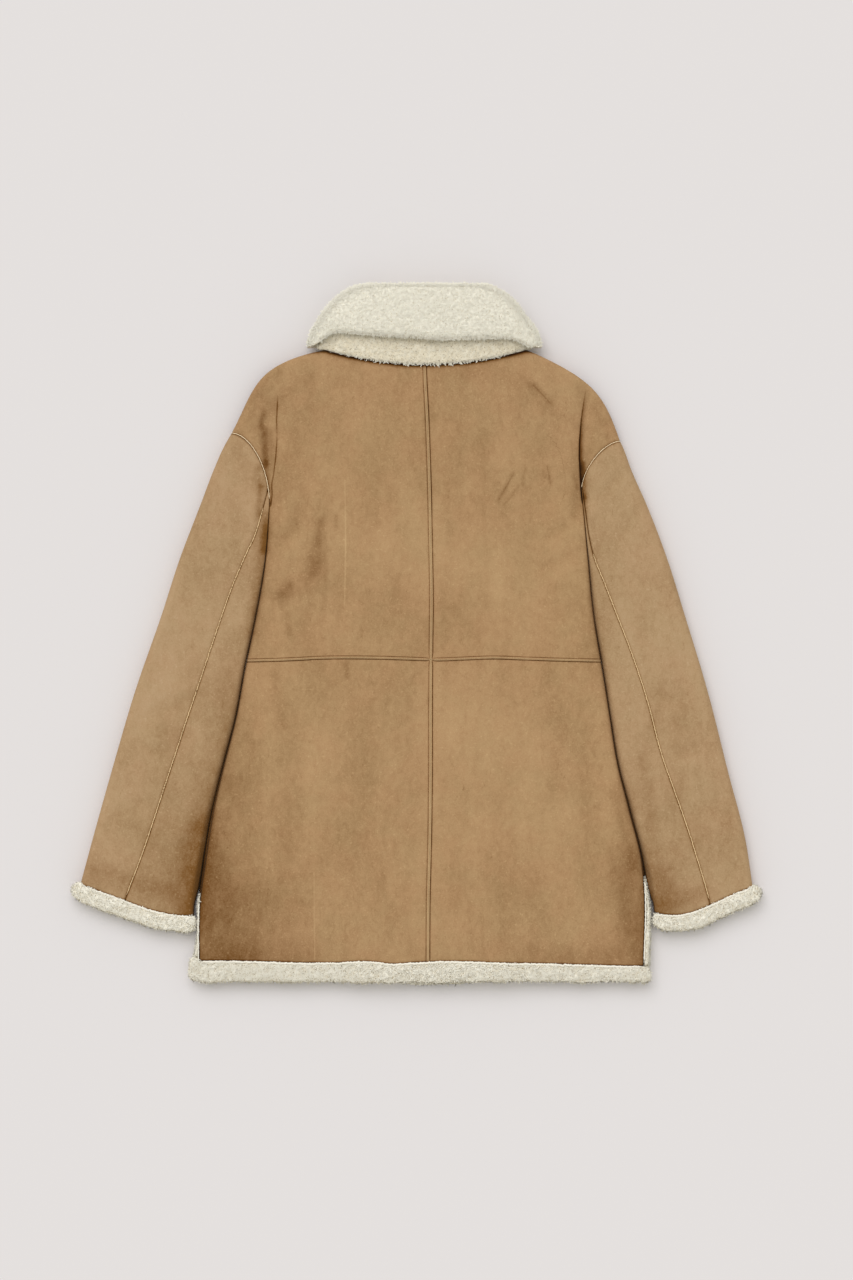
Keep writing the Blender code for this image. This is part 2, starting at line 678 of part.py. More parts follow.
def collar_wall():
    # a folded band led round the flattened neck: up the stand, over the roll and down the fall
    across, on_top = collar_stations()
    power = np.where(on_top, COLLAR_TOP_POWER, COLLAR_LOW_POWER)
    level = (1.0 - abs(across) ** power) ** (1.0 / power) * np.where(on_top, COLLAR_PUFF, -1.0)
    forward = np.where(on_top, 0.0, np.sqrt(1.0 - across**2))
    high = COLLAR_TOP - COLLAR_TILT * forward
    back_edge = COLLAR_FALL_EDGE + (COLLAR_SIDE_EDGE - COLLAR_FALL_EDGE) * abs(across) ** COLLAR_EDGE_POWER
    front_edge = COLLAR_SIDE_EDGE + (COLLAR_FRONT_EDGE - COLLAR_SIDE_EDGE) * forward
    edge = np.where(on_top, back_edge, front_edge)
    grids = []
    for face in ("out", "in"):
        up, depth, leg = (COLLAR_PROFILE[face + "_" + name] for name in ("up", "depth", "leg"))
        x = COLLAR_CENTRE + collar_half(up, leg, face == "in") * across
        z = MID + NECK_RISE + depth * level
        clear_x = x + COLLAR_SIDE_GAP * np.sign(across)
        seam = np.where(on_top, back_neck(x) + COLLAR_BACK_GAP, front_neck(clear_x) + COLLAR_FRONT_GAP)
        foot = seam + (np.maximum(edge, seam) - seam) * leg
        grids.append(np.stack([x, foot + (high - foot) * up, z], axis=-1))
    return grids


# ---- fleece bands ----

def lap_flat(xy):
    return mid_height(xy) - LAYER_GAP / 2


def fleece_bar(along_x, low_y, high_y, low_z, high_z, around=10):
    # a rounded bar across the coat, its ends turned in
    turn = np.linspace(0.0, 2 * np.pi, around, endpoint=False)
    middle = np.ones(len(along_x) - 2 * len(BAR_END_SIZES))
    size = np.concatenate([BAR_END_SIZES, middle, BAR_END_SIZES[::-1]])
    y = (low_y + high_y)[:, None] / 2 + ((high_y - low_y) * size)[:, None] / 2 * soft(np.cos(turn))
    z = (low_z + high_z)[:, None] / 2 + ((high_z - low_z) * size)[:, None] / 2 * soft(np.sin(turn))
    return np.stack([np.broadcast_to(along_x[:, None], y.shape), y, z], axis=-1)


def bar_stations(start, end, *parts):
    # stations along a bar, finer at its turned ends; a part is (where it stops or starts, how many)
    turned = np.array(BAR_END_STEPS)
    inner_start = start + BAR_TURN
    inner_end = end - BAR_TURN
    if len(parts) == 1:
        middle = np.linspace(inner_start, inner_end, parts[0])
    else:
        first_end, first_count = parts[0]
        last_start, last_count = parts[1]
        middle = np.concatenate([
            np.linspace(inner_start, first_end, first_count),
            np.linspace(last_start, inner_end, last_count),
        ])
    return np.concatenate([start + turned, middle, end - turned[::-1]])


def hem_back_loops():
    x = bar_stations(HEM_LEFT, HEM_RIGHT, 22)
    high_y = np.full(len(x), HEM_LINE - SEAM_GAP)
    level = mid_height(points(x, HEM_LINE))
    return fleece_bar(x, high_y - HEM_DEPTH, high_y, level + LAYER_GAP / 2, level + WALL + HEM_PROUD)


def hem_front_loops(side):
    # the bars step to half their thickness where they lap
    if side == "left":
        step = LAP_LEFT - LAP_CLEAR
        x = bar_stations(HEM_LEFT + HEM_INSET, LAP_RIGHT, (step - LAP_RAMP, 9), (step, 5))
    else:
        step = LAP_RIGHT + LAP_CLEAR
        x = bar_stations(LAP_LEFT, HEM_RIGHT - HEM_INSET, (step, 5), (step + LAP_RAMP, 9))
    line = points(x, HEM_LINE)
    flat = lap_flat(line)
    high_y = np.full(len(x), HEM_LINE - SEAM_GAP)
    centre = (LAP_LEFT + LAP_RIGHT) / 2
    dip = np.exp(-((x - centre) / HEM_DIP_HALF) ** HEM_DIP_POWER)
    low_y = high_y - HEM_DEPTH + HEM_INSET - (FRONT_HEM_DROP + HEM_INSET) * dip
    if side == "left":
        return fleece_bar(x, low_y, high_y, lap_over(line) * (flat / 2 + LAP_CLEAR / 2), flat)
    return fleece_bar(x, low_y, high_y, 0.0 * flat, flat - lap_under(line) * (flat / 2 + LAP_CLEAR / 2))


def vent_loops(side, around=10):
    rows = VENT[side]
    y = np.linspace(rows["height"][0], rows["height"][-1], len(VENT_SIZES))
    width = smooth_at(y, rows["height"], rows["width"])
    start = body_edge(side, y) + SEAM_GAP
    turn = np.linspace(0.0, 2 * np.pi, around, endpoint=False)
    size = np.array(VENT_SIZES)[:, None]
    x = (start + width / 2)[:, None] + width[:, None] / 2 * soft(np.cos(turn))
    z = (VENT_LOW + VENT_HIGH) / 2 + (VENT_HIGH - VENT_LOW) / 2 * size * soft(np.sin(turn))
    return np.stack([SIGN[side] * x, np.broadcast_to(y[:, None], x.shape), z], axis=-1)


# ---- solids ----

def material(name, colour, roughness):
    made = bpy.data.materials.new(name)
    made.use_nodes = True
    shader = made.node_tree.nodes["Principled BSDF"]
    shader.inputs["Base Color"].default_value = (*colour, 1.0)
    shader.inputs["Roughness"].default_value = roughness
    shader.inputs["Metallic"].default_value = 0.0
    return made


def solid(name, vertices, faces, finish):
    mesh = bpy.data.meshes.new(name)
    mesh.from_pydata(vertices.reshape(-1, 3).tolist(), [], faces)
    shape = bmesh.new()
    shape.from_mesh(mesh)
    bmesh.ops.triangulate(shape, faces=shape.faces[:])
    bmesh.ops.recalc_face_normals(shape, faces=shape.faces[:])
    shape.to_mesh(mesh)
    shape.free()
    mesh.materials.append(finish)
    mesh.shade_smooth()
    mesh.set_sharp_from_angle(angle=SHARP_ANGLE)
    made = bpy.data.objects.new(name, mesh)
    bpy.context.scene.collection.objects.link(made)
    return made


def strips(rows, closed_across=False, closed_along=False):
    # quads between the neighbours of a grid of vertex numbers
    count_a, count_b = rows.shape
    faces = []
    for a in range(count_a if closed_along else count_a - 1):
        for b in range(count_b if closed_across else count_b - 1):
            c = (a + 1) % count_a
            d = (b + 1) % count_b
            faces.append((rows[a, b], rows[c, b], rows[c, d], rows[a, d]))
    return [tuple(int(v) for v in face) for face in faces]


def wall(name, outside, inside, finish):
    # two grids joined by a rim along all four borders
    count = outside.shape[0] * outside.shape[1]
    outer = np.arange(count).reshape(outside.shape[:2])
    inner = outer + count
    border = np.concatenate([outer[:, 0], outer[-1, 1:], outer[-2::-1, -1], outer[0, -2:0:-1]])
    rim = strips(np.stack([border, border + count], axis=1), closed_along=True)
    faces = strips(outer) + strips(inner) + rim
    return solid(name, np.concatenate([outside.reshape(-1, 3), inside.reshape(-1, 3)]), faces, finish)


def panel(name, plan, top, under, finish):
    outside = np.concatenate([plan, top[..., None]], axis=-1)
    inside = np.concatenate([plan, under[..., None]], axis=-1)
    return wall(name, outside, inside, finish)


def tube(name, loops, finish, closed):
    # loops of points joined along their path, with a cap at each end of an open one
    rows = np.arange(loops.shape[0] * loops.shape[1]).reshape(loops.shape[:2])
    faces = strips(rows, closed_across=True, closed_along=closed)
    if not closed:
        faces += [tuple(int(v) for v in rows[0]), tuple(int(v) for v in rows[-1])]
    return solid(name, loops, faces, finish)


def place_on_origin(objects):
    # the origin is the middle of the coat's box, on the floor
    corners = np.concatenate([np.array([v.co for v in made.data.vertices]) for made in objects])
    low = corners.min(0)
    high = corners.max(0)
    shift = np.array([(low[0] + high[0]) / 2, (low[1] + high[1]) / 2, low[2]])
    for made in objects:
        for vertex in made.data.vertices:
            vertex.co = (vertex.co[0] - shift[0], vertex.co[1] - shift[1], vertex.co[2] - shift[2])


def main():
    for old in list(bpy.data.objects):
        bpy.data.objects.remove(old, do_unlink=True)
    suede = material("suede", SUEDE_COLOUR, 0.95)
    fleece = material("fleece", FLEECE_COLOUR, 1.0)
    made = []
    for side in ("left", "right"):
        for name, plan in (("upper", back_upper_plan(side)), ("lower", back_lower_plan(side))):
            node = "back_" + name + "_" + side
            made.append(panel(node, plan, back_top(side, plan), back_under(side, plan), suede))
        plan = front_plan(side)
        made.append(panel("front_" + side, plan, front_top(side, plan), front_under(side, plan), suede))
        for part in ("top", "under"):
            made.append(wall("sleeve_" + side + "_" + part, *sleeve_wall(side, part), suede))
        made.append(tube("cuff_" + side, cuff_loops(side), fleece, closed=True))
        made.append(tube("hem_front_" + side, hem_front_loops(side), fleece, closed=False))
        made.append(tube("vent_" + side, vent_loops(side), fleece, closed=False))
    made.append(tube("hem_back", hem_back_loops(), fleece, closed=False))
    made.append(wall("collar", *collar_wall(), fleece))
    place_on_origin(made)


main()
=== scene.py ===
# Shearling coat laid out on its front: suede panels, fleece collar and edges, sewing, floor and light.
# Design coordinates: x from the centre back seam, y up from the end of the hem, z up from the floor.
import bpy
import numpy as np
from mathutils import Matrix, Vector


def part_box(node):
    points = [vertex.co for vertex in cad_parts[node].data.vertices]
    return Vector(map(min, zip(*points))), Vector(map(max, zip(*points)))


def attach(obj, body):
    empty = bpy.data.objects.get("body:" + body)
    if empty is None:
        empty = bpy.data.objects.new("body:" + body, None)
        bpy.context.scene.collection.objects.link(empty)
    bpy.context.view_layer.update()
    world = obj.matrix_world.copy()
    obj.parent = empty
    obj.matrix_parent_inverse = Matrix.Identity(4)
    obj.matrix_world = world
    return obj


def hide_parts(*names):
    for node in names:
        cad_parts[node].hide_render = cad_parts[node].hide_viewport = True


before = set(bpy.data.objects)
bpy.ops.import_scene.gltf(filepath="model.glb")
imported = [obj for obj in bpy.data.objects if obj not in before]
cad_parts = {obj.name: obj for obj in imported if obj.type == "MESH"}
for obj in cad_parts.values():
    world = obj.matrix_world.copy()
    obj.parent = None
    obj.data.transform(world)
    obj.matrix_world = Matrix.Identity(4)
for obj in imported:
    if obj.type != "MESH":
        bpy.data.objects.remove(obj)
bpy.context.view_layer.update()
print("frame loaded with", len(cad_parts), "nodes")


def table(lengths, others, rows):
    # an array for each named column; the lengths are written in millimetres, with a slash between rows
    names = (lengths + " " + others).split()
    columns = np.array(rows.replace("/", " ").split(), dtype=float).reshape(-1, len(names)).T
    columns[:len(lengths.split())] /= 1000
    return dict(zip(names, columns))


# sizes that every piece shares
coat = {
    "wall": 0.0105, "mid": 0.0110, "layerGap": 0.0012, "seamGap": 0.0002, "edgeRadius": 0.0070, "rim": 0.0012,
    "slit": 0.0006, "waist": 0.4055, "hemLine": 0.0285, "neckCentre": -0.0055, "neckHalf": 0.1265,
    "neckHeight": 0.7900, "backNeckDrop": 0.0180, "frontNeckDrop": 0.0850, "neckRise": 0.0080,
    "neckLift": 0.0093, "neckSlope": 1.0, "lapLeft": -0.0320, "lapRight": 0.0460, "lapRise": 0.0042,
    "lapShoulder": 0.0300, "lapSlope": 0.0800, "lapRamp": 0.0055, "lapClear": 0.0009,
    "shoulderHandles": (0.0920, 0.0640), "foldForms": 0.14, "floorGap": 0.0002,
    "rollReach": 0.0040, "hemRoll": 0.0016, "neckRoll": 0.0012, "armRoll": 0.0010, "armRollReach": 0.0022,
    "soft": ((0.00055, 0.075), (0.00028, 0.030)), "neckLineAt": 0.0010,
}
sideSizes = {
    "left": {
        "sign": -1.0, "shoulderFall": (12.0, 62.0), "armholePower": 1.85, "tip": (-0.2475, 0.6865),
        "underarm": (-0.2000, 0.5990), "cuffOuter": 0.1240, "cuffInner": 0.0845, "cuffSag": 0.0068,
        "overhangInner": 0.0084,
    },
    "right": {
        "sign": 1.0, "shoulderFall": (24.0, 71.0), "armholePower": 1.65, "tip": (0.2370, 0.6765),
        "underarm": (0.1890, 0.6160), "cuffOuter": 0.1210, "cuffInner": 0.0890, "cuffSag": 0.0115,
        "overhangInner": 0.0074,
    },
}
bodyEdges = {
    "left": table("height width gap", "fold", """
    0 287.5 7 0.35 / 28.5 287.5 7 0.35 / 104 286.5 6.6 0.4 / 152.5 280 6 0.8 / 216 270 4 1 / 276 256 2.4 1 /
    329 242.5 1.6 1 / 401 229.5 1 1 / 454 218 0.7 1 / 526 205.5 0.6 1 / 599 200 0.5 1
    """),
    "right": table("height width gap", "fold", """
    0 266 12.5 0.35 / 28.5 266 12.5 0.35 / 104 267.5 10.5 0.4 / 152.5 264 4 0.8 / 216 248.5 2.6 1 /
    276 233.5 1.8 1 / 329 225 1.4 1 / 401 214 1 1 / 454 205 0.7 1 / 526 197.5 0.6 1 / 616 189 0.5 1
    """),
}
sleeveEdges = table("height left right", "", """
    122.5 436.5 402.4 / 180 421 393.5 / 264 397.5 372 / 366 367.5 346.1 / 461 334.5 317.5 /
    529 312.5 296.3 / 599 285.7 269.6 / 641 269.7 251 / 670.5 256.6 240 / 686.5 247.5 232
""")
sleeveSeams = table("", "along left right", """
    0 0.825 0.935 / 0.06 0.79 0.935 / 0.12 0.75 0.93 / 0.17 0.692 0.895 / 0.24 0.643 0.805 /
    0.38 0.6 0.685 / 0.53 0.56 0.607 / 0.66 0.54 0.578 / 0.79 0.505 0.528 / 0.9 0.458 0.49 / 1 0.392 0.432
""")

# the design's place in the row frame, read from one panel's corner
panelLow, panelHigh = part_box("back_upper_left")
cadGap = 0.0003
designShift = np.array([panelHigh.x + cadGap / 2, panelLow.y - coat["waist"] - cadGap / 2, 0.0])


# curves in plan
def smoothStep(share):
    share = np.clip(share, 0.0, 1.0)
    return share * share * (3.0 - 2.0 * share)


def hump(off, reach, power=2):
    # e to the power of minus the square of distance over reach: 1 on a line, nearly 0 at twice its reach
    return np.exp(-((off / reach) ** power))


def smoothAt(place, rows, column):
    # cubic pieces through a table's column, over its first column, sharing their slopes
    places, values = next(iter(rows.values())), rows[column]
    slopes = np.gradient(values, places)
    low = np.clip(np.searchsorted(places, place, side="right") - 1, 0, len(places) - 2)
    span = places[low + 1] - places[low]
    t = (place - places[low]) / span
    start = values[low] * (1.0 + 2.0 * t) + slopes[low] * span * t
    end = values[low + 1] * (3.0 - 2.0 * t) - slopes[low + 1] * span * (1.0 - t)
    return start * (1.0 - t) ** 2 + end * t**2


def points(x, y):
    return np.stack(np.broadcast_arrays(x, y), axis=-1).astype(float)


def unit(vectors):
    return vectors / np.maximum(np.linalg.norm(vectors, axis=-1, keepdims=True), 1e-12)


def lengthOf(line):
    return np.linalg.norm(np.diff(line, axis=0), axis=1).sum()


def along(line, shares):
    # points at given shares of a line's length
    steps = np.linalg.norm(np.diff(line, axis=0), axis=1)
    reach = np.concatenate([[0.0], np.cumsum(steps)]) / steps.sum()
    return np.stack([np.interp(shares, reach, column) for column in line.T], axis=-1)


def offSegment(xy, start, step):
    # where each point lies along a segment, as a share of it, and how far away from it
    away = xy - start
    share = np.clip((away @ step) / (step @ step), 0.0, 1.0)
    return share, np.linalg.norm(away - share[..., None] * step, axis=-1)


def distanceTo(line, xy):
    # least distance in plan from each point to a line of points
    return np.min([offSegment(xy, *part)[1] for part in zip(line, np.diff(line, axis=0))], axis=0)


def strokes(rows):
    # the rows of a table that begin with two ends, each as a start, a step and the other values
    for x0, y0, x1, y1, *others in zip(*rows.values()):
        start = np.array([x0, y0])
        yield start, np.array([x1, y1]) - start, *others


def bodyEdge(side, height, column="width"):
    return smoothAt(height, bodyEdges[side], column)


def fromSide(side, xy):
    # distance inward from the body's side, whose edge goes straight on above the underarm
    own = sideSizes[side]
    return bodyEdge(side, np.minimum(xy[..., 1], own["underarm"][1])) - own["sign"] * xy[..., 0]


def neckShare(x):
    return np.clip(abs(x - coat["neckCentre"]) / coat["neckHalf"], 0.0, 1.0)


def backNeck(x):
    # a shallow parabola
    return coat["neckHeight"] - coat["backNeckDrop"] * (1.0 - neckShare(x) ** 2)


def frontNeck(x):
    # half of an ellipse
    return coat["neckHeight"] - coat["frontNeckDrop"] * np.sqrt(1.0 - neckShare(x) ** 2)


def shoulderLine(side, count=48):
    # from the neck's end to the shoulder's tip, on a cubic curve with a handle at each end
    own = sideSizes[side]
    start = np.array([coat["neckCentre"] + own["sign"] * coat["neckHalf"], coat["neckHeight"]])
    end = np.array(own["tip"])
    first, last = (
        handle * np.array([own["sign"] * np.cos(fall), -np.sin(fall)])
        for handle, fall in zip(coat["shoulderHandles"], np.radians(own["shoulderFall"]))
    )
    t = np.linspace(0.0, 1.0, count)[:, None]
    near = (1 - t) ** 3 * start + 3 * (1 - t) ** 2 * t * (start + first)
    return near + 3 * (1 - t) * t**2 * (end - last) + t**3 * end


def armholeLine(side, count=60):
    # a quarter of a superellipse from the underarm up to the shoulder's tip
    turn = np.linspace(np.pi / 2, 0.0, count)
    tip, low = sideSizes[side]["tip"], sideSizes[side]["underarm"]
    power = 2.0 / sideSizes[side]["armholePower"]
    inward = (low[0] - tip[0]) * np.sin(turn) ** power
    upward = (tip[1] - low[1]) * np.maximum(np.cos(turn), 0.0) ** power
    return points(tip[0] + inward, low[1] + upward)


def edgeShares(length, step, turns=8):
    # even steps, then finer ones where the panel rounds over its folded edge
    radius = coat["edgeRadius"]
    even = np.linspace(0.0, length - radius, max(int(round((length - radius) / step)), 3) + 1)
    turn = np.linspace(0.0, np.pi / 2, turns + 1)[1:]
    return np.concatenate([even, length - radius * (1.0 - np.sin(turn))]) / length


def blendGrid(bottom, top, inner, outer, across, up):
    # Coons patch: rails between bottom and top, rungs between inner and outer, less their shared corners
    u, v = across[:, None, None], up[None, :, None]
    rails = (1 - v) * bottom[:, None] + v * top[:, None]
    rungs = (1 - u) * inner[None] + u * outer[None]
    corners = (1 - u) * ((1 - v) * bottom[0] + v * top[0]) + u * ((1 - v) * bottom[-1] + v * top[-1])
    return rails + rungs - corners


# noise and creases
def latticeNoise(where, cell, seed, size=40):
    # random values on a cubic lattice, joined by smooth steps; from -1 to 1
    values = np.random.default_rng(seed).uniform(-1.0, 1.0, (size, size, size))
    place = where / cell
    base = np.floor(place).astype(int)
    t = smoothStep(place - base)
    total = np.zeros(where.shape[:-1])
    for corner in np.ndindex(2, 2, 2):
        x, y, z = ((base[..., k] + corner[k]) % size for k in range(3))
        total += values[x, y, z] * np.prod(np.where(corner, t, 1.0 - t), axis=-1)
    return total


def planNoise(xy, cell, seed, level=0.37):
    # the noise on one level, which is given in cells
    height = np.full(xy.shape[:-1] + (1,), level * cell)
    return latticeNoise(np.concatenate([xy, height], axis=-1), cell, seed)


# pressed-in folds that the solids have too: two ends, depth and half width
pressedFolds = table("x0 y0 x1 y1 depth reach", "", """
    196 740 188.5 675 3.2 10 / 188.5 690 189 605 5.5 11 / -208 725 -198.5 605 3 12 /
    -172 515 -185 460 1.4 20 / -140 640 -142 470 1 26 / 150 660 130 520 1 30 / -330 420 -305 310 1.6 20 /
    315 400 285 300 1.6 22 / -390 240 -310 215 1.4 18 / 365 230 295 200 1.4 18
""")
# finer creases: two ends, sideways bow, depth and half width of the trough
creases = table("x0 y0 x1 y1 bow depth reach", "", """
    -206 710 -203 630 -1 0.9 3.6 / -191.2 730 -192.5 640 0.8 0.6 2.4 / 127.5 746.3 150 722.5 1 0.9 3.8 /
    112 752 162 697.5 -3 0.6 7 / -106 764 -162.5 704 4 0.6 9 / -190 728 -218 690 2 0.6 6 /
    204 720 225 688 -2 0.7 6 / -162 598 -199 529 5 1.2 8 / -130 580 -193 554 -4 0.6 9 /
    -173 470 -208 490 3 0.7 7 / 196 605 144 554 4 1 8 / 190 540 131 510 -4 0.7 8 / 196 470 150 460 3 0.6 7 /
    70 650 90 570 6 0.5 12 / -60 700 -75 620 -5 0.4 14 / -31 366 -6 397 1 0.6 4 / 31 368 8 397 -1 0.5 3.6 /
    -25 438 -6 413 1 0.5 3.4 / 28 433 7 413 -1 0.5 3.6 / -225 354 -238 104 6 1 15 /
    -162 366 -175 54 -8 0.7 19 / -88 350 -94 80 6 0.6 20 / -144 142 -144 31 1 0.5 2 /
    94 354 102 66 -7 0.6 20 / 181 366 200 104 6 0.9 14 / 237 179 250 41 -2 1.1 10 /
    -243 666 -210 604 3 0.9 6 / -219 529 -208 602 2 1.1 5 / -256 615 -225 560 -3 0.8 8 /
    -290 500 -250 520 3 0.6 9 / -356 329 -288 356 4 0.9 10 / -364 297.5 -318 290 -2 0.8 7.5 /
    -401 204 -349 228 3 0.8 9 / -332 166 -295 179 -2 0.9 8 / -416 153 -386 137 1 0.6 5 /
    -330 130 -310 96 1 0.6 5 / 244 641 213 604 -3 0.9 6 / 213 530 207 590 1 1 5 / 260 600 230 550 3 0.8 8 /
    285 490 245 510 -3 0.6 9 / 325 354 275 367 3 0.8 9.5 / 344 298 297 285 2 0.9 8 /
    381 205 337 222 -3 0.8 9 / 312 166 281 176 2 1 8 / 388 152 362 133 1 0.6 5 / 307 127 286 96 -1 0.6 5
""")
# small puckers that stand square to the waist seam: place, length above and below, depth
waistPuckers = table("x above below depth", "", """
    -212 10 22 0.7 / -192 14 30 0.6 / -161 8 14 0.4 / -133 12 24 0.6 / -103 9 30 0.5 / -64 12 16 0.5 /
    -38 9 20 0.4 / 33 10 18 0.5 / 61 14 28 0.5 / 88 8 16 0.4 / 119 12 26 0.6 / 148 9 18 0.5 /
    179 16 24 0.6 / 201 10 18 0.7
""")
creaseForm = {
    "fade": 0.12, "fadeRun": 0.4, "ridge": 0.5, "ridgeAt": 1.9, "puckerHalf": 0.0032, "puckerFrom": 0.0035,
}
# sharp pressed lines, a row for each point: painted shade of the line and of the cloth to its right; below 0
# the line is paler
pressedLines = [table("x y", "core side", rows) for rows in (
    """
    194 742 0 0 / 191.3 725 0.4 0.5 / 188.3 704 0.8 1 / 186.4 678 1.5 1.55 / 186 658 1.8 1.8 /
    187.5 629 2 1.9 / 189 610 2 1.6 / 190.5 599 1.6 0.6
    """, """
    -189.8 733 0 0 / -190 724 0.7 0.1 / -191.2 701 0.8 0.1 / -190.5 685 0.2 0 / -191.2 670 0.8 0.06 /
    -192.5 654 0.9 0.06 / -194.5 638 0.6 0.06 / -197.2 623 0.8 0.1 / -196.8 610 0.9 0.1 / -198.5 595 0.9 0
    """, """
    85 602.5 0.1 0.05 / 95 620 0.2 0.05 / 105 637.5 0.1 0.05
    """, """
    145.8 645 0.1 0 / 148.5 634 0.2 0.1 / 149.7 622 0.1 0
    """, """
    127.5 746.3 0.1 0.1 / 139 735 0.3 0.1 / 150 722.5 0.1 0.1
    """, """
    -144.5 140 -0.2 0 / -143.5 32 -0.3 0
    """, """
    -106 630 -0.2 0 / -105 550 -0.4 0 / -106.5 470 -0.2 0
    """,
)]
lineForm = {"depth": 0.0024, "steep": 0.0012, "gentle": 0.0100, "farthest": 0.02}


def nearestLine(xy):
    # signed distance to the nearest pressed line, above 0 on its right, and its two strengths there
    least = np.full(xy.shape[:-1], np.inf)
    off, core, side = np.full(least.shape, lineForm["farthest"]), np.zeros(least.shape), np.zeros(least.shape)
    for rows in pressedLines:
        line = points(rows["x"], rows["y"])
        for k, step in enumerate(np.diff(line, axis=0)):
            share, apart = offSegment(xy, line[k], step)
            beside = ~((share <= 0.0) & (k == 0) | (share >= 1.0) & (k == len(line) - 2))
            nearer = apart < least
            away = xy - line[k]
            hand = np.sign(away[..., 0] * step[1] - away[..., 1] * step[0]) * np.sign(step[1])
            least = np.where(nearer, apart, least)
            off = np.where(nearer, np.clip(hand * apart, -lineForm["farthest"], lineForm["farthest"]), off)
            core, side = (
                np.where(nearer, beside * (rows[key][k] + share * (rows[key][k + 1] - rows[key][k])), old)
                for key, old in (("core", core), ("side", side))
            )
    return off, core, side


def lineDepth(xy):
    # steep on the left of each line and gentle on its right
    off, core, side = nearestLine(xy)
    reach = np.where(off < 0, lineForm["steep"], lineForm["gentle"])
    return lineForm["depth"] * np.clip(side, 0.0, 1.0) * hump(off, reach)


def pressedDepth(xy):
    return np.max([
        depth * hump(offSegment(xy, start, step)[1], reach)
        for start, step, depth, reach in strokes(pressedFolds)
    ], axis=0)


def creaseHeight(xy):
    # each crease: a trough on a bowed line, faded at its ends, with half its depth as a ridge beside it
    height = np.zeros(xy.shape[:-1])
    form = creaseForm
    for start, step, bow, depth, reach in strokes(creases):
        length = np.linalg.norm(step)
        share = ((xy - start) @ step) / length**2
        off = ((xy - start) @ np.array([-step[1], step[0]])) / length
        off = (off - bow * np.sin(np.pi * np.clip(share, 0.0, 1.0))) / reach
        fade = smoothStep((share + form["fade"]) / form["fadeRun"])
        fade = fade * smoothStep((1.0 + form["fade"] - share) / form["fadeRun"])
        height += depth * fade * (form["ridge"] * hump(off - form["ridgeAt"], 1.0) - hump(off, 1.0))
    off = xy[..., 1] - coat["waist"]
    for x, above, below, depth in zip(*waistPuckers.values()):
        fade = np.exp(-abs(off) / np.where(off > 0, above, below)) * (abs(off) > form["puckerFrom"])
        height -= depth * fade * hump(xy[..., 0] - x, form["puckerHalf"])
    return height


# heights of the layers
def rounding(distance, fold=1.0):
    # 0 at a folded edge and 1 where the panel is flat, on a quarter circle
    share = np.clip(distance / coat["edgeRadius"], 0.0, 1.0)
    return 1.0 - fold + fold * np.sqrt(1.0 - (1.0 - share) ** 2)


def nearNeck(xy):
    across = (xy[..., 0] - coat["neckCentre"]) / coat["neckHalf"]
    down = (xy[..., 1] - coat["neckHeight"]) / coat["frontNeckDrop"]
    return smoothStep(1.0 + (1.0 - np.hypot(across, down)) / coat["neckSlope"])


def midHeight(xy):
    # the layer between back and fronts: raised over the lap and over the collar's front leaves
    outside = np.maximum(coat["lapLeft"] - xy[..., 0], xy[..., 0] - coat["lapRight"]) - coat["lapShoulder"]
    lap = coat["lapRise"] * smoothStep(1.0 - outside / coat["lapSlope"])
    neck = nearNeck(xy)
    return coat["mid"] + lap * (1.0 - neck) + coat["neckRise"] * neck


def edgeRounding(side, xy):
    # flatness left by the nearer folded edge, either the side seam's or the shoulder's
    low = sideSizes[side]["underarm"][1]
    fold = bodyEdge(side, np.minimum(xy[..., 1], low), "fold")
    fold = fold * smoothStep((low - xy[..., 1]) / coat["foldForms"])
    return np.minimum(rounding(abs(fromSide(side, xy)), fold), rounding(distanceTo(shoulderLine(side), xy)))


# the shade and light sides set the painted shade in the seams' grooves; the crest and spot values set the
# painted highlight on the welts and where the seams cross
seams = {
    "weltHeight": 0.0016, "weltHalf": {"upDown": 0.0019, "level": 0.0014},
    "grooveAt": {"upDown": 0.0023, "level": 0.0018}, "grooveHalf": 0.00056, "grooveDepth": 0.0009,
    "pinch": 0.42, "pinchReach": 0.0042, "crossingDip": 0.35, "crossingReach": 0.0060,
    "stitchPitch": 0.0036, "stitchBite": 0.10, "bendReach": 0.0600, "shadeSide": 1.22, "lightSide": 0.60,
    "crestHighlight": 0.50, "crestHalf": 0.75, "spotHighlight": 1.2, "spotReach": 0.0014,
    "uneven": ((0.35, 0.020), (0.25, 0.006)), "waistSpan": (-0.29, 0.29), "hemSpan": (-0.31, 0.27),
    "offsets": (0.0, 0.0008, 0.0012, 0.0015, 0.0018, 0.0021, 0.0024, 0.0028, 0.0034, 0.0046, 0.0068),
}
# how far the two back seams and the hem's edge wander from straight
centreSeamBends = table("y shift", "", """
    -20 -2.5 / 46 -2.5 / 116 -1.9 / 166 -0.6 / 250 0.6 / 360 0.8 / 416 1.2 / 479 1.9 / 554 0.6 / 616 -0.6 /
    676 -2.5 / 706 -3.7 / 766 -6.6 / 800 -7
""")
waistSeamBends = table("x shift", "", """
    -300 -2.4 / -225 -2.4 / -180 -1.2 / -130 1.1 / -70 1.1 / -30 0 / 10 -1.2 / 40 -0.1 / 80 1.3 / 120 -0.1 /
    160 -1.4 / 200 -2.4 / 300 -2.4
""")
hemBends = table("x shift", "", """
    -320 0.6 / -260 0.6 / -217.5 0 / -150 -2 / -117.5 -1.6 / -77.5 0.2 / -47.5 -2.8 / -17.5 -1.2 / 20 0.2 /
    42.5 0 / 85 -1.6 / 132.5 -2.6 / 182.5 -4 / 230 -5.4 / 280 -6.2
""")


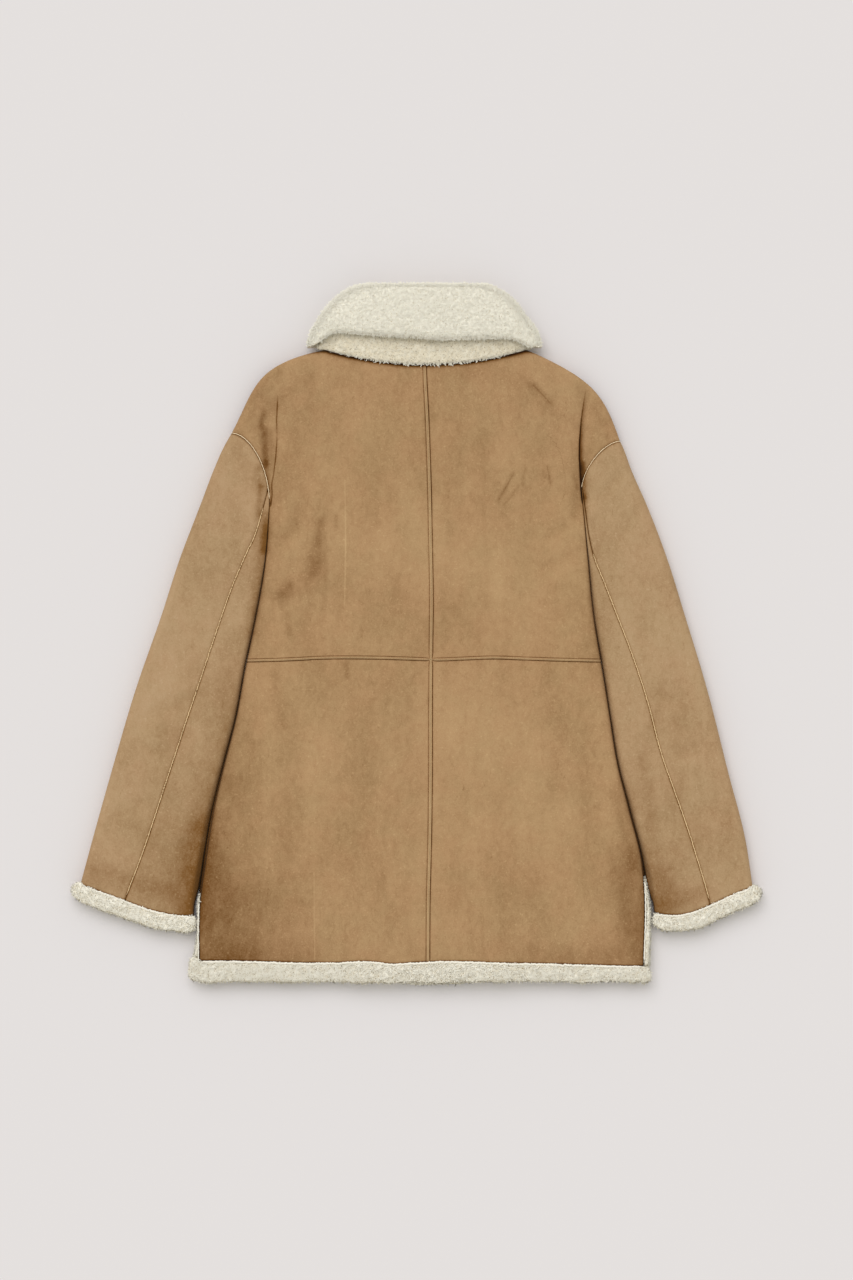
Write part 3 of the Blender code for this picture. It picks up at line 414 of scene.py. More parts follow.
def bendPlan(xyz):
    # shifts a back panel's points beside its seams and its lower edge, less and less away from them
    x, y, z = (xyz[..., k] for k in range(3))
    reach = seams["bendReach"]
    centre = smoothAt(y, centreSeamBends, "shift") * smoothStep(1.0 - abs(x) / reach)
    waist = smoothAt(np.clip(x, *seams["waistSpan"]), waistSeamBends, "shift")
    waist = waist * smoothStep(1.0 - abs(y - coat["waist"]) / reach)
    hem = hemShift(x) * smoothStep(1.0 - (y - coat["hemLine"]) / reach)
    return np.stack([x + centre, y + waist + hem, z], axis=-1)


def hemShift(x):
    return smoothAt(np.clip(x, *seams["hemSpan"]), hemBends, "shift")


def pinched(runs):
    # how much closer together a seam's two lines are, near the crossing
    return 1.0 - seams["pinch"] * hump(runs, seams["pinchReach"])


def weltShape(off, runs, way):
    # the turned edges beside a seam: a flat-topped rise, ended by a stitched groove; bitten at each stitch
    bite = 1.0 + seams["stitchBite"] * np.cos(2 * np.pi * runs / seams["stitchPitch"])
    rise = seams["weltHeight"] * np.clip(1.0 - (off / seams["weltHalf"][way]) ** 4, 0.0, 1.0) * bite
    return rise - seams["grooveDepth"] * hump(off - seams["grooveAt"][way], seams["grooveHalf"])


def seamHeight(xy):
    # both back seams, the taller of the two where they cross
    upDown, levelWay = abs(xy[..., 0]), abs(xy[..., 1] - coat["waist"])
    crossing = 1.0 - seams["crossingDip"] * hump(np.hypot(upDown, levelWay), seams["crossingReach"])
    return crossing * np.where(
        upDown <= levelWay,
        weltShape(upDown / pinched(levelWay), xy[..., 1], "upDown"),
        weltShape(levelWay / pinched(upDown), xy[..., 0], "level"),
    )


def waves(xy, sizes, seed):
    # a sum of noises, each with its height and cell
    return sum(height * planNoise(xy, cell, seed + k) for k, (height, cell) in enumerate(sizes))


def rolledDown(off):
    return np.clip(1.0 - off / coat["rollReach"], 0.0, 1.0) ** 2


def backTop(side, xy):
    low = midHeight(xy) + coat["layerGap"] / 2 + coat["rim"]
    flat = midHeight(xy) + coat["wall"] - pressedDepth(xy) + creaseHeight(xy) - lineDepth(xy)
    flat += waves(xy, coat["soft"], 11)
    rolls = coat["hemRoll"] * rolledDown(xy[..., 1] - coat["hemLine"])
    rolls += coat["neckRoll"] * rolledDown(backNeck(xy[..., 0]) - xy[..., 1])
    rolls += coat["armRoll"] * hump(distanceTo(armholeLine(side, 24), xy), coat["armRollReach"])
    return low + (flat - low) * edgeRounding(side, xy) + seamHeight(xy) - rolls


def lapUnder(xy):
    start = coat["lapRight"] + coat["lapClear"]
    return np.interp(xy[..., 0], [start, start + coat["lapRamp"]], [1.0, 0.0])


def lapOver(xy):
    start = coat["lapLeft"] - coat["lapClear"]
    return np.interp(xy[..., 0], [start - coat["lapRamp"], start], [0.0, 1.0])


def frontTop(side, xy):
    flat = midHeight(xy) - coat["layerGap"] / 2
    if side == "left":
        return flat
    return flat - lapUnder(xy) * ((flat - coat["neckLift"] * nearNeck(xy)) / 2 + coat["lapClear"] / 2)


fronts = {"press": 0.0007, "pressFrom": 0.0001, "pressRun": 0.0040, "pressCell": 0.03}


def frontUnder(side, xy):
    high = midHeight(xy) - coat["layerGap"] / 2 - coat["rim"]
    lifted = coat["neckLift"] * nearNeck(xy)
    low = high - (high - lifted) * edgeRounding(side, xy)
    pressed = smoothStep((low - fronts["pressFrom"]) / fronts["pressRun"])
    pressed = pressed * planNoise(xy, fronts["pressCell"], 21)
    low = np.maximum(low + fronts["press"] * pressed, 0.0)
    if side == "right":
        return low
    return low + lapOver(xy) * ((high + coat["rim"] - lifted) / 2 + coat["lapClear"] / 2)


# plans of the panels
def fanPlan(side, foot, lowY, neck, step):
    # a Coons patch from a straight inner line out to the side, the armhole and the shoulder
    sign = sideSizes[side]["sign"]
    heights = np.linspace(lowY, sideSizes[side]["underarm"][1], 90)
    border = np.concatenate([points(sign * bodyEdge(side, heights), heights)[:-1], armholeLine(side)])
    up = edgeShares(lengthOf(border), step)
    outer = along(border, up)
    across = edgeShares(abs(outer[0, 0] - foot), step)
    start = np.arcsin(sign * (foot - coat["neckCentre"]) / coat["neckHalf"])
    neckX = coat["neckCentre"] + sign * coat["neckHalf"] * np.sin(np.linspace(start, np.pi / 2, 60))
    top = along(np.concatenate([points(neckX, neck(neckX))[:-1], shoulderLine(side)]), across)
    inner = points(foot, lowY + (top[0, 1] - lowY) * up)
    bottom = points(foot + (outer[0, 0] - foot) * across, lowY)
    return blendGrid(bottom, top, inner, outer, across, up), across, up


def backUpperPlan(side, step):
    # seam strips of fixed width along two borders, then the patch
    sign = sideSizes[side]["sign"]
    strip = np.array(seams["offsets"]) + coat["seamGap"] / 2
    cornerX, cornerY = sign * strip[-1], coat["waist"] + strip[-1]
    patch, across, up = fanPlan(side, cornerX, cornerY, backNeck, step)
    stripX, lowY = sign * strip[:-1, None], coat["waist"] + strip[None, :-1]
    stripUp = points(stripX, cornerY + (backNeck(stripX) - cornerY) * up[None, :])
    lowPatch = points(cornerX + (sign * bodyEdge(side, lowY) - cornerX) * across[:, None], lowY)
    return np.concatenate([
        np.concatenate([points(stripX, lowY), stripUp], axis=1),
        np.concatenate([lowPatch, patch], axis=1),
    ])


hemSteps = (0.0015, 0.0028, 0.0040)


def backLowerPlan(side, step):
    sign = sideSizes[side]["sign"]
    strip = np.array(seams["offsets"]) + coat["seamGap"] / 2
    length = coat["waist"] - coat["hemLine"] - hemSteps[-1]
    even = np.linspace(strip[-1], length, int(round((length - strip[-1]) / step)) + 1)
    heights = (coat["waist"] - np.concatenate([strip[:-1], even, length + np.array(hemSteps)]))[None, :]
    cornerX = sign * strip[-1]
    edge = sign * bodyEdge(side, heights)
    across = edgeShares(abs(edge[0, 0] - cornerX), step)[:, None]
    x = np.concatenate([sign * strip[:-1, None] + 0 * heights, cornerX + (edge - cornerX) * across])
    return points(x, heights)


def frontPlan(side, step):
    sign = sideSizes[side]["sign"]
    ends = {"left": ("lapRight", "lapLeft"), "right": ("lapLeft", "lapRight")}[side]
    edge, near = coat[ends[0]], coat[ends[1]] + sign * coat["lapClear"]
    patch, across, up = fanPlan(side, near + sign * coat["lapRamp"], coat["hemLine"], frontNeck, step)
    lapX = np.concatenate([np.linspace(edge, near, 10), [near + sign * coat["lapRamp"] / 2]])[:, None]
    lap = points(lapX, coat["hemLine"] + (frontNeck(lapX) - coat["hemLine"]) * up[None, :])
    return np.concatenate([lap, patch])


# sleeves
sleeves = {
    "rows": 150, "nearSeam": (0.0, 0.006, 0.013, 0.022, 0.036), "evenFrom": 0.06, "flatTop": 26,
    "flatUnder": 12, "turns": 13, "nearCuff": (0.9962, 0.9982, 1.0), "frontSeam": 0.80, "foldShare": 0.80,
    "pileEdge": 0.0101, "evenTo": 0.994, "crowding": 1.1, "bowPower": 1.6, "bowRows": 6,
    "pileShare": 0.70, "seamDip": 0.0011, "seamHalf": 0.0022, "length": 0.56, "armRoll": 0.0010,
    "armRollReach": 0.0030, "cuffRoll": 0.0014, "sag": 0.55, "leastGap": 0.0022, "sagFrom": 0.095,
    "sagRun": 0.03, "sagPast": 0.01, "sagLevel": 0.55, "sagFade": 0.6, "sagWithin": 0.02,
}


def sleevePlan(side, across, down):
    # straight rows from the outer edge to the inner one, bent to the armhole above and the cuff below
    own = sideSizes[side]
    tip, low = np.array(own["tip"]), own["underarm"][1]
    outerY = tip[1] + (own["cuffOuter"] - tip[1]) * down
    outer = points(own["sign"] * smoothAt(outerY, sleeveEdges, side), outerY)
    innerY = low + (own["cuffInner"] - low) * down
    inner = points(own["sign"] * (bodyEdge(side, innerY) + bodyEdge(side, innerY, "gap")), innerY)
    row = outer + (inner - outer) * across[..., None]
    arm = along(armholeLine(side)[::-1], np.clip(across, 0.0, 1.0))
    arm = arm + coat["seamGap"] * np.array([own["sign"], -1.0])
    innerTop = np.array([own["sign"] * (bodyEdge(side, low) + bodyEdge(side, low, "gap")), low])
    row = row + ((1.0 - down) ** 4)[..., None] * (arm - tip - (innerTop - tip) * across[..., None])
    bow = np.sin(np.pi * np.clip(across, 0.0, 1.0) ** sleeves["bowPower"])
    row[..., 1] -= own["cuffSag"] * down ** sleeves["bowRows"] * bow
    return row


def edgeSag(side, y):
    # the folded edges of body and sleeve bulge below the layers' middle, each half way across their gap
    low = sideSizes[side]["underarm"][1]
    beside = smoothStep((y - sleeves["sagFrom"]) / sleeves["sagRun"])
    beside = beside * smoothStep((low + sleeves["sagPast"] - y) / sleeves["sagRun"])
    gap = np.maximum(bodyEdge(side, np.minimum(y, low), "gap"), sleeves["leastGap"])
    return sleeves["sag"] * gap * beside


def sleeveWidth(side, down):
    shares = np.linspace(0.0, 1.0, 13)[:, None] * np.ones(len(down))
    rows = sleevePlan(side, shares, np.broadcast_to(down, shares.shape))
    return np.linalg.norm(np.diff(rows, axis=0), axis=-1).sum(0)


def sleeveWall(side, part):
    # grids of the outside and the pile side, from the back seam over the fold to the front seam
    rows, own = sleeves["rows"], sideSizes[side]
    flatTop, flatUnder = sleeves["flatTop"], sleeves["flatUnder"]
    down = np.linspace(0.0, sleeves["evenTo"], rows - len(sleeves["nearCuff"])) ** sleeves["crowding"]
    down = np.concatenate([down, sleeves["nearCuff"]])
    width = sleeveWidth(side, down)
    seam, front, fold = smoothAt(down, sleeveSeams, side) * width, sleeves["frontSeam"] * width, np.ones(rows)
    if part == "under":
        seam, front = width - seam, width - front
        fold = smoothStep(down * (own["underarm"][1] - own["cuffInner"]) / coat["foldForms"])
    seam, front = seam - coat["seamGap"] / 2, front - coat["seamGap"] / 2
    radius = np.minimum(coat["edgeRadius"], sleeves["foldShare"] * seam)
    pileEdge = np.minimum(sleeves["pileEdge"], sleeves["pileShare"] * radius)
    turn = np.radians(np.linspace(90.0, -90.0, sleeves["turns"]))
    circle = np.stack([np.cos(turn), np.sin(turn)])
    square = circle / abs(circle).max(0)
    beside, rise = square[..., None] + (circle - square)[..., None] * fold
    level = np.concatenate([np.ones((flatTop, rows)), rise, -np.ones((flatUnder, rows))])
    even = np.linspace(sleeves["evenFrom"], 1.0, flatTop + 1 - len(sleeves["nearSeam"]))[:-1]
    first = np.concatenate([sleeves["nearSeam"], even])[:, None]
    last = np.linspace(0.0, 1.0, flatUnder + 1)[1:, None]
    offset, pileOffset = (
        np.concatenate([seam + (radius - seam) * first, start + (radius - start) * (1.0 - beside),
                        radius + (front - radius) * last])
        for start in (0.0, pileEdge)
    )
    return [
        sleevePoints(side, part, place, level, down, width, pile, seam - offset)
        for place, pile in ((offset, False), (pileOffset, True))
    ]


def sleevePoints(side, part, offset, level, down, width, pile, fromSeam):
    across = offset / width
    if part == "under":
        across = 1.0 - across
    downGrid = np.broadcast_to(down, across.shape)
    xy = sleevePlan(side, across, downGrid)
    if part == "under":
        below = smoothStep((sleeves["sagLevel"] - level) / sleeves["sagFade"])
        below = below * smoothStep(1.0 - offset / sleeves["sagWithin"])
        xy[..., 0] -= sideSizes[side]["sign"] * edgeSag(side, xy[..., 1]) * below
    if pile:
        height = coat["mid"] + coat["slit"] * level
    else:
        above = level > 0
        high = coat["wall"] - (pressedDepth(xy) - creaseHeight(xy) - waves(xy, coat["soft"], 31)) * above
        dip = sleeves["seamDip"] * hump(fromSeam, sleeves["seamHalf"])
        arm = sleeves["armRoll"] * hump(downGrid * sleeves["length"], sleeves["armRollReach"])
        cuff = sleeves["cuffRoll"] * rolledDown((1.0 - downGrid) * sleeves["length"])
        height = coat["mid"] + np.where(above, high - cuff, coat["mid"]) * level - (dip + arm) * above
    return liftPlan(xy, height)


def liftPlan(plan, height):
    return np.concatenate([plan, height[..., None]], axis=-1)


# meshes
def gridFaces(rows, aroundA=False, aroundB=False):
    # quads between neighbours of a grid of vertex numbers
    nextA, nextB = np.roll(rows, -1, axis=0), np.roll(rows, -1, axis=1)
    quads = np.stack([rows, nextA, np.roll(nextA, -1, axis=1), nextB], axis=-1)
    return quads[:None if aroundA else -1, :None if aroundB else -1].reshape(-1, 4)


def capFaces(rows):
    # fans that close a tube's two ends, round two vertices numbered after the grid's own
    around = rows.shape[1]
    first = np.stack([np.full(around, rows.size), rows[0], np.roll(rows[0], -1)], axis=-1)
    last = np.stack([np.full(around, rows.size + 1), np.roll(rows[-1], -1), rows[-1]], axis=-1)
    return np.concatenate([first, last])


def wallFaces(shape):
    # outside grid, inside grid turned over, and a rim along all four borders
    outer = np.arange(shape[0] * shape[1]).reshape(shape)
    border = np.concatenate([outer[:, 0], outer[-1, 1:], outer[-2::-1, -1], outer[0, -2:0:-1]])
    ahead = np.roll(border, -1)
    rim = np.stack([ahead, border, border + outer.size, ahead + outer.size], axis=-1)
    return gridFaces(outer), gridFaces(outer + outer.size)[:, ::-1], rim


def signedVolume(vertices, faces):
    # two tetrahedra for a quad; a triangle's second one is flat
    a, b, c, d = (vertices[faces[:, k]] for k in (0, 1, 2, -1))
    return (a * (np.cross(b, c) + np.cross(c, d))).sum() / 6


def addObject(name, data):
    made = bpy.data.objects.new(name, data)
    bpy.context.scene.collection.objects.link(made)
    return made


def addMesh(name, vertices, faceSets, materials, values, faceMaterials=None):
    # faceSets are arrays of quads or triangles that wind the same way; a shell that is inside out is turned
    vertices = vertices.reshape(-1, 3) + designShift
    centred = vertices - vertices.mean(0)
    if sum(signedVolume(centred, faces) for faces in faceSets) < 0:
        faceSets = [faces[:, ::-1] for faces in faceSets]
    loops = np.concatenate([faces.ravel() for faces in faceSets]).astype(np.int32)
    sizes = np.concatenate([np.full(len(faces), faces.shape[1]) for faces in faceSets])
    mesh = bpy.data.meshes.new(name)
    mesh.vertices.add(len(vertices))
    mesh.vertices.foreach_set("co", vertices.astype(np.float32).ravel())
    mesh.loops.add(len(loops))
    mesh.loops.foreach_set("vertex_index", loops)
    mesh.polygons.add(len(sizes))
    mesh.polygons.foreach_set("loop_start", np.concatenate([[0], np.cumsum(sizes)[:-1]]).astype(np.int32))
    for material in materials:
        mesh.materials.append(material)
    if faceMaterials is not None:
        mesh.polygons.foreach_set("material_index", faceMaterials.astype(np.int32))
    mesh.update(calc_edges=True)
    mesh.shade_smooth()
    for key, value in values.items():
        mesh.attributes.new(key, "FLOAT", "POINT").data.foreach_set("value", value.astype(np.float32).ravel())
    piece = addObject(name, mesh)
    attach(piece, "root")
    print("made", name, "with", int((sizes - 2).sum()), "triangles")
    return piece


# darker (above 0) and paler (below 0) patches on the suede: two ends, half width and strength; the darker
# ones beside the folds, gaps and armholes are painted shade, the rest make the suede's tone uneven
suedeMarksAndShade = table("x0 y0 x1 y1 reach", "mark", """
    -185 486 -174 497 7.5 0.46 / -179 483 -170 486 6.5 0.34 / -137.2 576 -141 550 5.4 0.3 /
    -140 550 -147 515 9 0.3 / -144 525 -154 493 11 0.26 / -136 530 -133 495 8 0.18 /
    -117.5 581 -116.5 570 3.2 0.3 / -130 630 -133 430 4 0.1 / -176 461 -175.5 437 4.5 0.3 /
    -193 385 -183 328 9 0.28 / -104 398 -104 382 4 0.25 / 85 602.5 105 637.5 2.4 0.32 /
    94 599 110 620 1.6 0.28 / 114.5 621.8 118.4 641.2 2 0.3 / 145.8 645 149.7 622 2 0.3 /
    142 640 144 628 1.5 0.24 / 127.5 746.3 150 722.5 4.5 0.24 / 115 754 125 744 4.5 0.2 /
    180 670 180 590 8 0.14 / 181.3 632 183 618 3.6 0.36 / 191.5 648 192.5 605 3.8 0.8 /
    193.5 608 196 580 3 0.45 / -207.5 711 -211 695 3.8 0.42 / -206.2 690 -204.5 650 5.6 0.62 /
    -204.5 650 -201 615 3.4 0.6 / -197.5 690 -196 640 3 0.24 / -214 643 -211 620 4.6 0.5 /
    -211 620 -213.8 585 4.6 0.5 / -212 740 -206 725 6 0.14 / -150 755 -200 715 10 0.14 /
    -278 140 -276 34 42 0.32 / -235 100 -230 40 46 0.42 / -260 36 -150 33 18 0.24 /
    -245 250 -265 140 14 0.2 / 256 150 260 34 28 0.42 / 225 38 120 36 16 0.24 / 230 240 256 150 10 0.28 /
    16 760 90 762 12 0.16 / 104 745 170 708 14 0.12 / -90 560 -40 520 45 -0.1 / 30 520 140 530 50 -0.14 /
    40 320 130 220 50 -0.16 / -150 280 -60 200 50 -0.06 / 45 490 48 450 16 0.1 / 40 480 30 465 8 0.14 /
    158 340 164 310 13 0.15 / -205 585 -206.5 540 5.6 0.55 / -205.5 570 -223 440 8 0.36 /
    -238 430 -280 200 16 0.3 / -285 190 -300 95 23 0.42 / -330 115 -415 140 12 0.24 /
    -348 320 -310 310 12 0.16 / -290 240 -312 125 48 0.14 / -390 200 -360 190 20 0.15 /
    -315 510 -345 420 7 -0.18 / -310 450 -350 330 20 -0.14 / 200 580 205 530 5 0.22 /
    226 608 240 590 7 0.12 / 260 300 282 140 11 0.18 / 290 130 288 90 22 0.34 / 340 115 300 100 14 0.3 /
    310 250 330 170 18 0.08 / 235 470 260 390 11 -0.14 / 300 460 330 360 16 -0.1
""")
# creases: how strongly the troughs of creases are painted darker, as painted shade
markAndShadeForm = {
    "wander": (0.07, 0.060, 41), "streaks": (0.06, 0.022, 42), "streakLength": 0.4,
    "uneven": (0.18, 0.014, 43), "level": 0.90, "creases": 110.0,
}


def suedeMarkAndShade(xy):
    # soft capsules, a little uneven, plus a slow wander, and painted shade in the troughs of creases
    def noise(key, where):
        size, cell, seed = markAndShadeForm[key]
        return size * planNoise(where, cell, seed)
    mark = noise("wander", xy) + noise("streaks", xy * np.array([1.0, markAndShadeForm["streakLength"]]))
    uneven = markAndShadeForm["level"] + noise("uneven", xy)
    for start, step, reach, strength in strokes(suedeMarksAndShade):
        mark += strength * hump(offSegment(xy, start, step)[1], reach) * uneven
    return mark - creaseHeight(xy) * markAndShadeForm["creases"]


# strength and reach of the painted shade along each edge: deep in the gaps between body and sleeves, under
# the collar's foot, and beside the armholes, seams, hem and cuffs
edgeShades = {
    "side": (1.30, 0.0009), "sideSoft": (0.18, 0.0060), "neck": (1.50, 0.0044), "neckLine": (1.20, 0.0017),
    "armhole": (0.85, 0.0013), "hem": (1.00, 0.0013), "sleeveInner": (1.30, 0.0010),
    "sleeveInnerSoft": (0.24, 0.0080), "sleeveSeam": (1.50, 0.0013), "cuff": (1.00, 0.0013),
}


def edgeShade(**offs):
    return sum(edgeShades[key][0] * hump(off, edgeShades[key][1]) for key, off in offs.items())


def backShade(side, xy):
    # painted shade along the back panel's side, neck, armhole and hem
    above = np.maximum(xy[..., 1] - sideSizes[side]["underarm"][1], 0.0)
    offSide = np.hypot(fromSide(side, xy), above)
    offNeck = backNeck(xy[..., 0]) - xy[..., 1]
    return edgeShade(side=offSide, sideSoft=offSide, neck=offNeck, neckLine=offNeck - coat["neckLineAt"],
                     armhole=distanceTo(armholeLine(side, 30), xy), hem=xy[..., 1] - coat["hemLine"])


def seamPaintedLight(xy):
    # painted shade in the stitched grooves beside the back seams, darker on the side away from the light, and
    # a painted highlight on the welts' crests and where the seams cross
    across, down = xy[..., 0], coat["waist"] - xy[..., 1]
    centre = abs(across) < abs(down)
    off = np.where(centre, across, down) / pinched(np.where(centre, down, across))
    at = np.where(centre, seams["grooveAt"]["upDown"], seams["grooveAt"]["level"])
    groove = hump(abs(off) - at, seams["grooveHalf"])
    crest = hump(off, seams["crestHalf"] * at, 4)
    spot = hump(np.hypot(across, down), seams["spotReach"])
    lines = groove * np.where(off > 0, seams["shadeSide"], seams["lightSide"])
    lines = lines * (1.0 + waves(xy, seams["uneven"], 45))
    return lines * (1.0 - spot) - seams["crestHighlight"] * crest - seams["spotHighlight"] * spot


# materials
def feed(tree, node, inputs):
    # each input gets a number, a colour or another node's output
    for label, value in inputs.items():
        if isinstance(value, bpy.types.NodeSocket):
            tree.links.new(value, node.inputs[label])
        else:
            node.inputs[label].default_value = (*value, 1.0) if node.inputs[label].type == "RGBA" else value
    return node.outputs


def addNode(tree, kind, inputs, **settings):
    node = tree.nodes.new("ShaderNode" + kind)
    for key, value in settings.items():
        setattr(node, key, value)
    return feed(tree, node, inputs)


def addNoise(tree, place, scale, detail, roughness=0.5, distortion=0.0, stretch=None):
    if stretch:
        place = addNode(tree, "Mapping", {"Vector": place, "Scale": stretch})["Vector"]
    form = {"Scale": scale, "Detail": detail, "Roughness": roughness, "Distortion": distortion}
    return addNode(tree, "TexNoise", {"Vector": place, **form})["Fac"]


def addRange(tree, value, low, high, toLow=0.0, toHigh=1.0):
    ends = {"From Min": low, "From Max": high, "To Min": toLow, "To Max": toHigh}
    return addNode(tree, "MapRange", {"Value": value, **ends})["Result"]


def addUp(tree, total, *pairs):
    # a start plus each value times its weight
    for value, weight in pairs:
        total = addNode(tree, "Math", {0: value, 1: weight, 2: total}, operation="MULTIPLY_ADD")[0]
    return total


def addMix(tree, share, first, second):
    # a mix node takes its two colours at inputs 6 and 7 and gives one at output 2
    return addNode(tree, "Mix", {0: share, 6: first, 7: second}, data_type="RGBA")[2]


def newGroup(name, inputs, outputs):
    # a node group with sockets from labels by kind; gives the group, its inputs and its last node
    group = bpy.data.node_groups.new(name, "ShaderNodeTree")
    for way, sockets in (("INPUT", inputs), ("OUTPUT", outputs)):
        for kind, labels in sockets.items():
            for label in labels.split(", "):
                group.interface.new_socket(label, in_out=way, socket_type="NodeSocket" + kind)
    return group, group.nodes.new("NodeGroupInput").outputs, group.nodes.new("NodeGroupOutput")


# each noise: scale, detail, roughness, distortion and stretch; each range: from and to
nap = {
    "noises": {
        "clouds": (11.0, 4.0, 0.55), "streaks": (34.0, 5.0, 0.60, 0.0, (1.0, 0.3, 1.0)),
        "flecks": (130.0, 6.0, 0.72, 0.6, (1.0, 0.7, 1.0)), "grain": (620.0, 3.0, 0.60), "pale": (360.0, 2.0),
        "strokes": (170.0, 3.0, 0.60, 1.2, (1.5, 0.6, 1.0)), "warmth": (21.0, 3.0, 0.60),
    },
    "tone": {"clouds": -0.50, "streaks": -0.60, "flecks": -1.0, "grain": -0.70}, "middle": 1.48,
    "pale": (0.62, 0.74, 0.0, -0.36), "strokes": (0.64, 0.76, 0.0, 0.30), "warmth": (0.38, 0.62),
    "core": (0.0003, 0.0013, 1.0, 0.0), "beside": (-0.0004, 0.0004), "fade": (0.0, 0.0085, 1.0, 0.0),
    "power": 1.8,
    "dark": (0.0, 1.0), "deep": (1.0, 2.0), "paler": (0.0, -0.9), "height": {"grain": 0.6, "flecks": 0.9},
    "roughness": (0.3, 0.7, 0.82, 0.98),
}


def makeNapGroup():
    # brushed nap: slow clouds, streaks along the length, small brushed flecks and fine grain; on top, the
    # marks' patches and painted shade and the pressed lines' painted shade, whose darkest parts take the Deep
    # colour, while the seams' painted highlight goes to Pale
    group, given, end = newGroup(
        "suedeNap",
        {"Vector": "Position", "Color": "Tan, Dark, Pale, Warm, Deep",
         "Float": "Mark, Contrast, Line Offset, Line Core, Line Side"},
        {"Color": "Color", "Float": "Height, Roughness"})
    noise = {key: addNoise(group, given["Position"], *row) for key, row in nap["noises"].items()}
    tone = addUp(group, nap["middle"], *((noise[key], share) for key, share in nap["tone"].items()))
    away = addNode(group, "Math", {0: given["Line Offset"]}, operation="ABSOLUTE")[0]
    fade = addNode(group, "Math", {0: addRange(group, given["Line Offset"], *nap["fade"]), 1: nap["power"]},
                   operation="POWER")[0]
    beside = addUp(group, 0.0, (addRange(group, given["Line Offset"], *nap["beside"]), fade))
    shade = addUp(
        group, given["Mark"], (addRange(group, away, *nap["core"]), given["Line Core"]),
        (beside, given["Line Side"]), (tone, given["Contrast"]),
        (addRange(group, noise["strokes"], *nap["strokes"]), 1.0),
        (addRange(group, noise["pale"], *nap["pale"]), 1.0))
    colour = addMix(group, addRange(group, noise["warmth"], *nap["warmth"]), given["Tan"], given["Warm"])
    for key, label in (("dark", "Dark"), ("deep", "Deep"), ("paler", "Pale")):
        colour = addMix(group, addRange(group, shade, *nap[key]), colour, given[label])
    rise = addUp(group, 0.0, *((noise[key], share) for key, share in nap["height"].items()))
    rough = addRange(group, noise["flecks"], *nap["roughness"])
    feed(group, end, {"Color": colour, "Height": rise, "Roughness": rough})
    return group


pileTone = {
    "noises": {
        "patches": (24.0, 3.0), "curls": (330.0, 4.0, 0.60, 1.2), "fibre": (900.0, 2.0),
        "pits": (620.0, 2.0, 0.60, 0.5),
    },
    "tone": {"curls": 0.55, "patches": 0.24, "fibre": 0.20}, "curl": 0.75, "pits": (0.43, 0.31, 0.0, -1.0),
    "lit": (0.40, 1.02), "shaded": (0.40, -0.50), "height": {"curls": 1.0, "fibre": 0.5},
}


def makeCurlGroup():
    # curled pile: pale crests and warmer hollows, which on the fleece are painted light and shade on its
    # curls, faint slow patches, fine fibre and painted shadow in dark pits
    group, given, end = newGroup(
        "fleeceCurl", {"Vector": "Position", "Color": "Crest, Hollow, Shadow", "Float": "Curl, Pits"},
        {"Color": "Color", "Float": "Height"})
    noise = {key: addNoise(group, given["Position"], *row) for key, row in pileTone["noises"].items()}
    tone = addUp(group, 0.0, *((noise[key], share) for key, share in pileTone["tone"].items()),
                 (given["Curl"], pileTone["curl"]),
                 (addRange(group, noise["pits"], *pileTone["pits"]), given["Pits"]))
    lit = addMix(group, addRange(group, tone, *pileTone["lit"]), given["Hollow"], given["Crest"])
    shaded = addMix(group, addRange(group, tone, *pileTone["shaded"]), lit, given["Shadow"])
    rise = addUp(group, 0.0, *((noise[key], share) for key, share in pileTone["height"].items()))
    feed(group, end, {"Color": shaded, "Height": rise})
    return group


def addMaterial(name, group, reads, inputs, look, bump):
    # the group's colour and height on a plain shader; reads are the mesh values behind the group's inputs
    material = bpy.data.materials.new(name)
    material.use_nodes = True
    tree = material.node_tree
    for label, key in reads.items():
        inputs[label] = addNode(tree, "Attribute", {}, attribute_name=key)["Fac"]
    inputs["Position"] = addNode(tree, "TexCoord", {})["Object"]
    made = addNode(tree, "Group", inputs, node_tree=group)
    relief = addNode(tree, "Bump", {"Strength": finishes["bump"], "Distance": bump, "Height": made["Height"]})
    feed(tree, tree.nodes["Principled BSDF"], {
        **look, "Base Color": made["Color"], "Roughness": made.get("Roughness", finishes["roughness"]),
        "Normal": relief["Normal"]})
    return material


finishes = {
    "bump": 0.35, "suedeBump": 0.0006, "fleeceBump": 0.0008, "roughness": 0.95,
    "suede": {
        "Specular IOR Level": 0.04, "Sheen Weight": 0.14, "Sheen Roughness": 0.45,
        "Sheen Tint": (0.86, 0.66, 0.44),
    },
    "fleece": {"Specular IOR Level": 0.20, "Sheen Roughness": 0.50, "Sheen Tint": (1.0, 0.97, 0.86)},
    "reads": {"Mark": "mark", "Line Offset": "lineOffset", "Line Core": "lineCore", "Line Side": "lineSide"},
}
# Dark takes the nap's darker flecks and patches and the painted shade, Deep mostly the deepest painted shade
# in gaps, grooves and folds, Pale the nap's pale flecks and the seams' painted highlight
suedes = {
    "suedeBody": {
        "Tan": (0.432, 0.271, 0.133), "Dark": (0.165, 0.070, 0.017), "Pale": (0.610, 0.415, 0.215),
        "Warm": (0.442, 0.265, 0.131), "Deep": (0.030, 0.011, 0.003), "Contrast": 0.88,
    },
    "suedeSleeve": {
        "Tan": (0.456, 0.304, 0.163), "Dark": (0.198, 0.087, 0.021), "Pale": (0.580, 0.410, 0.250),
        "Warm": (0.460, 0.295, 0.159), "Deep": (0.030, 0.011, 0.003), "Contrast": 0.88,
    },
}
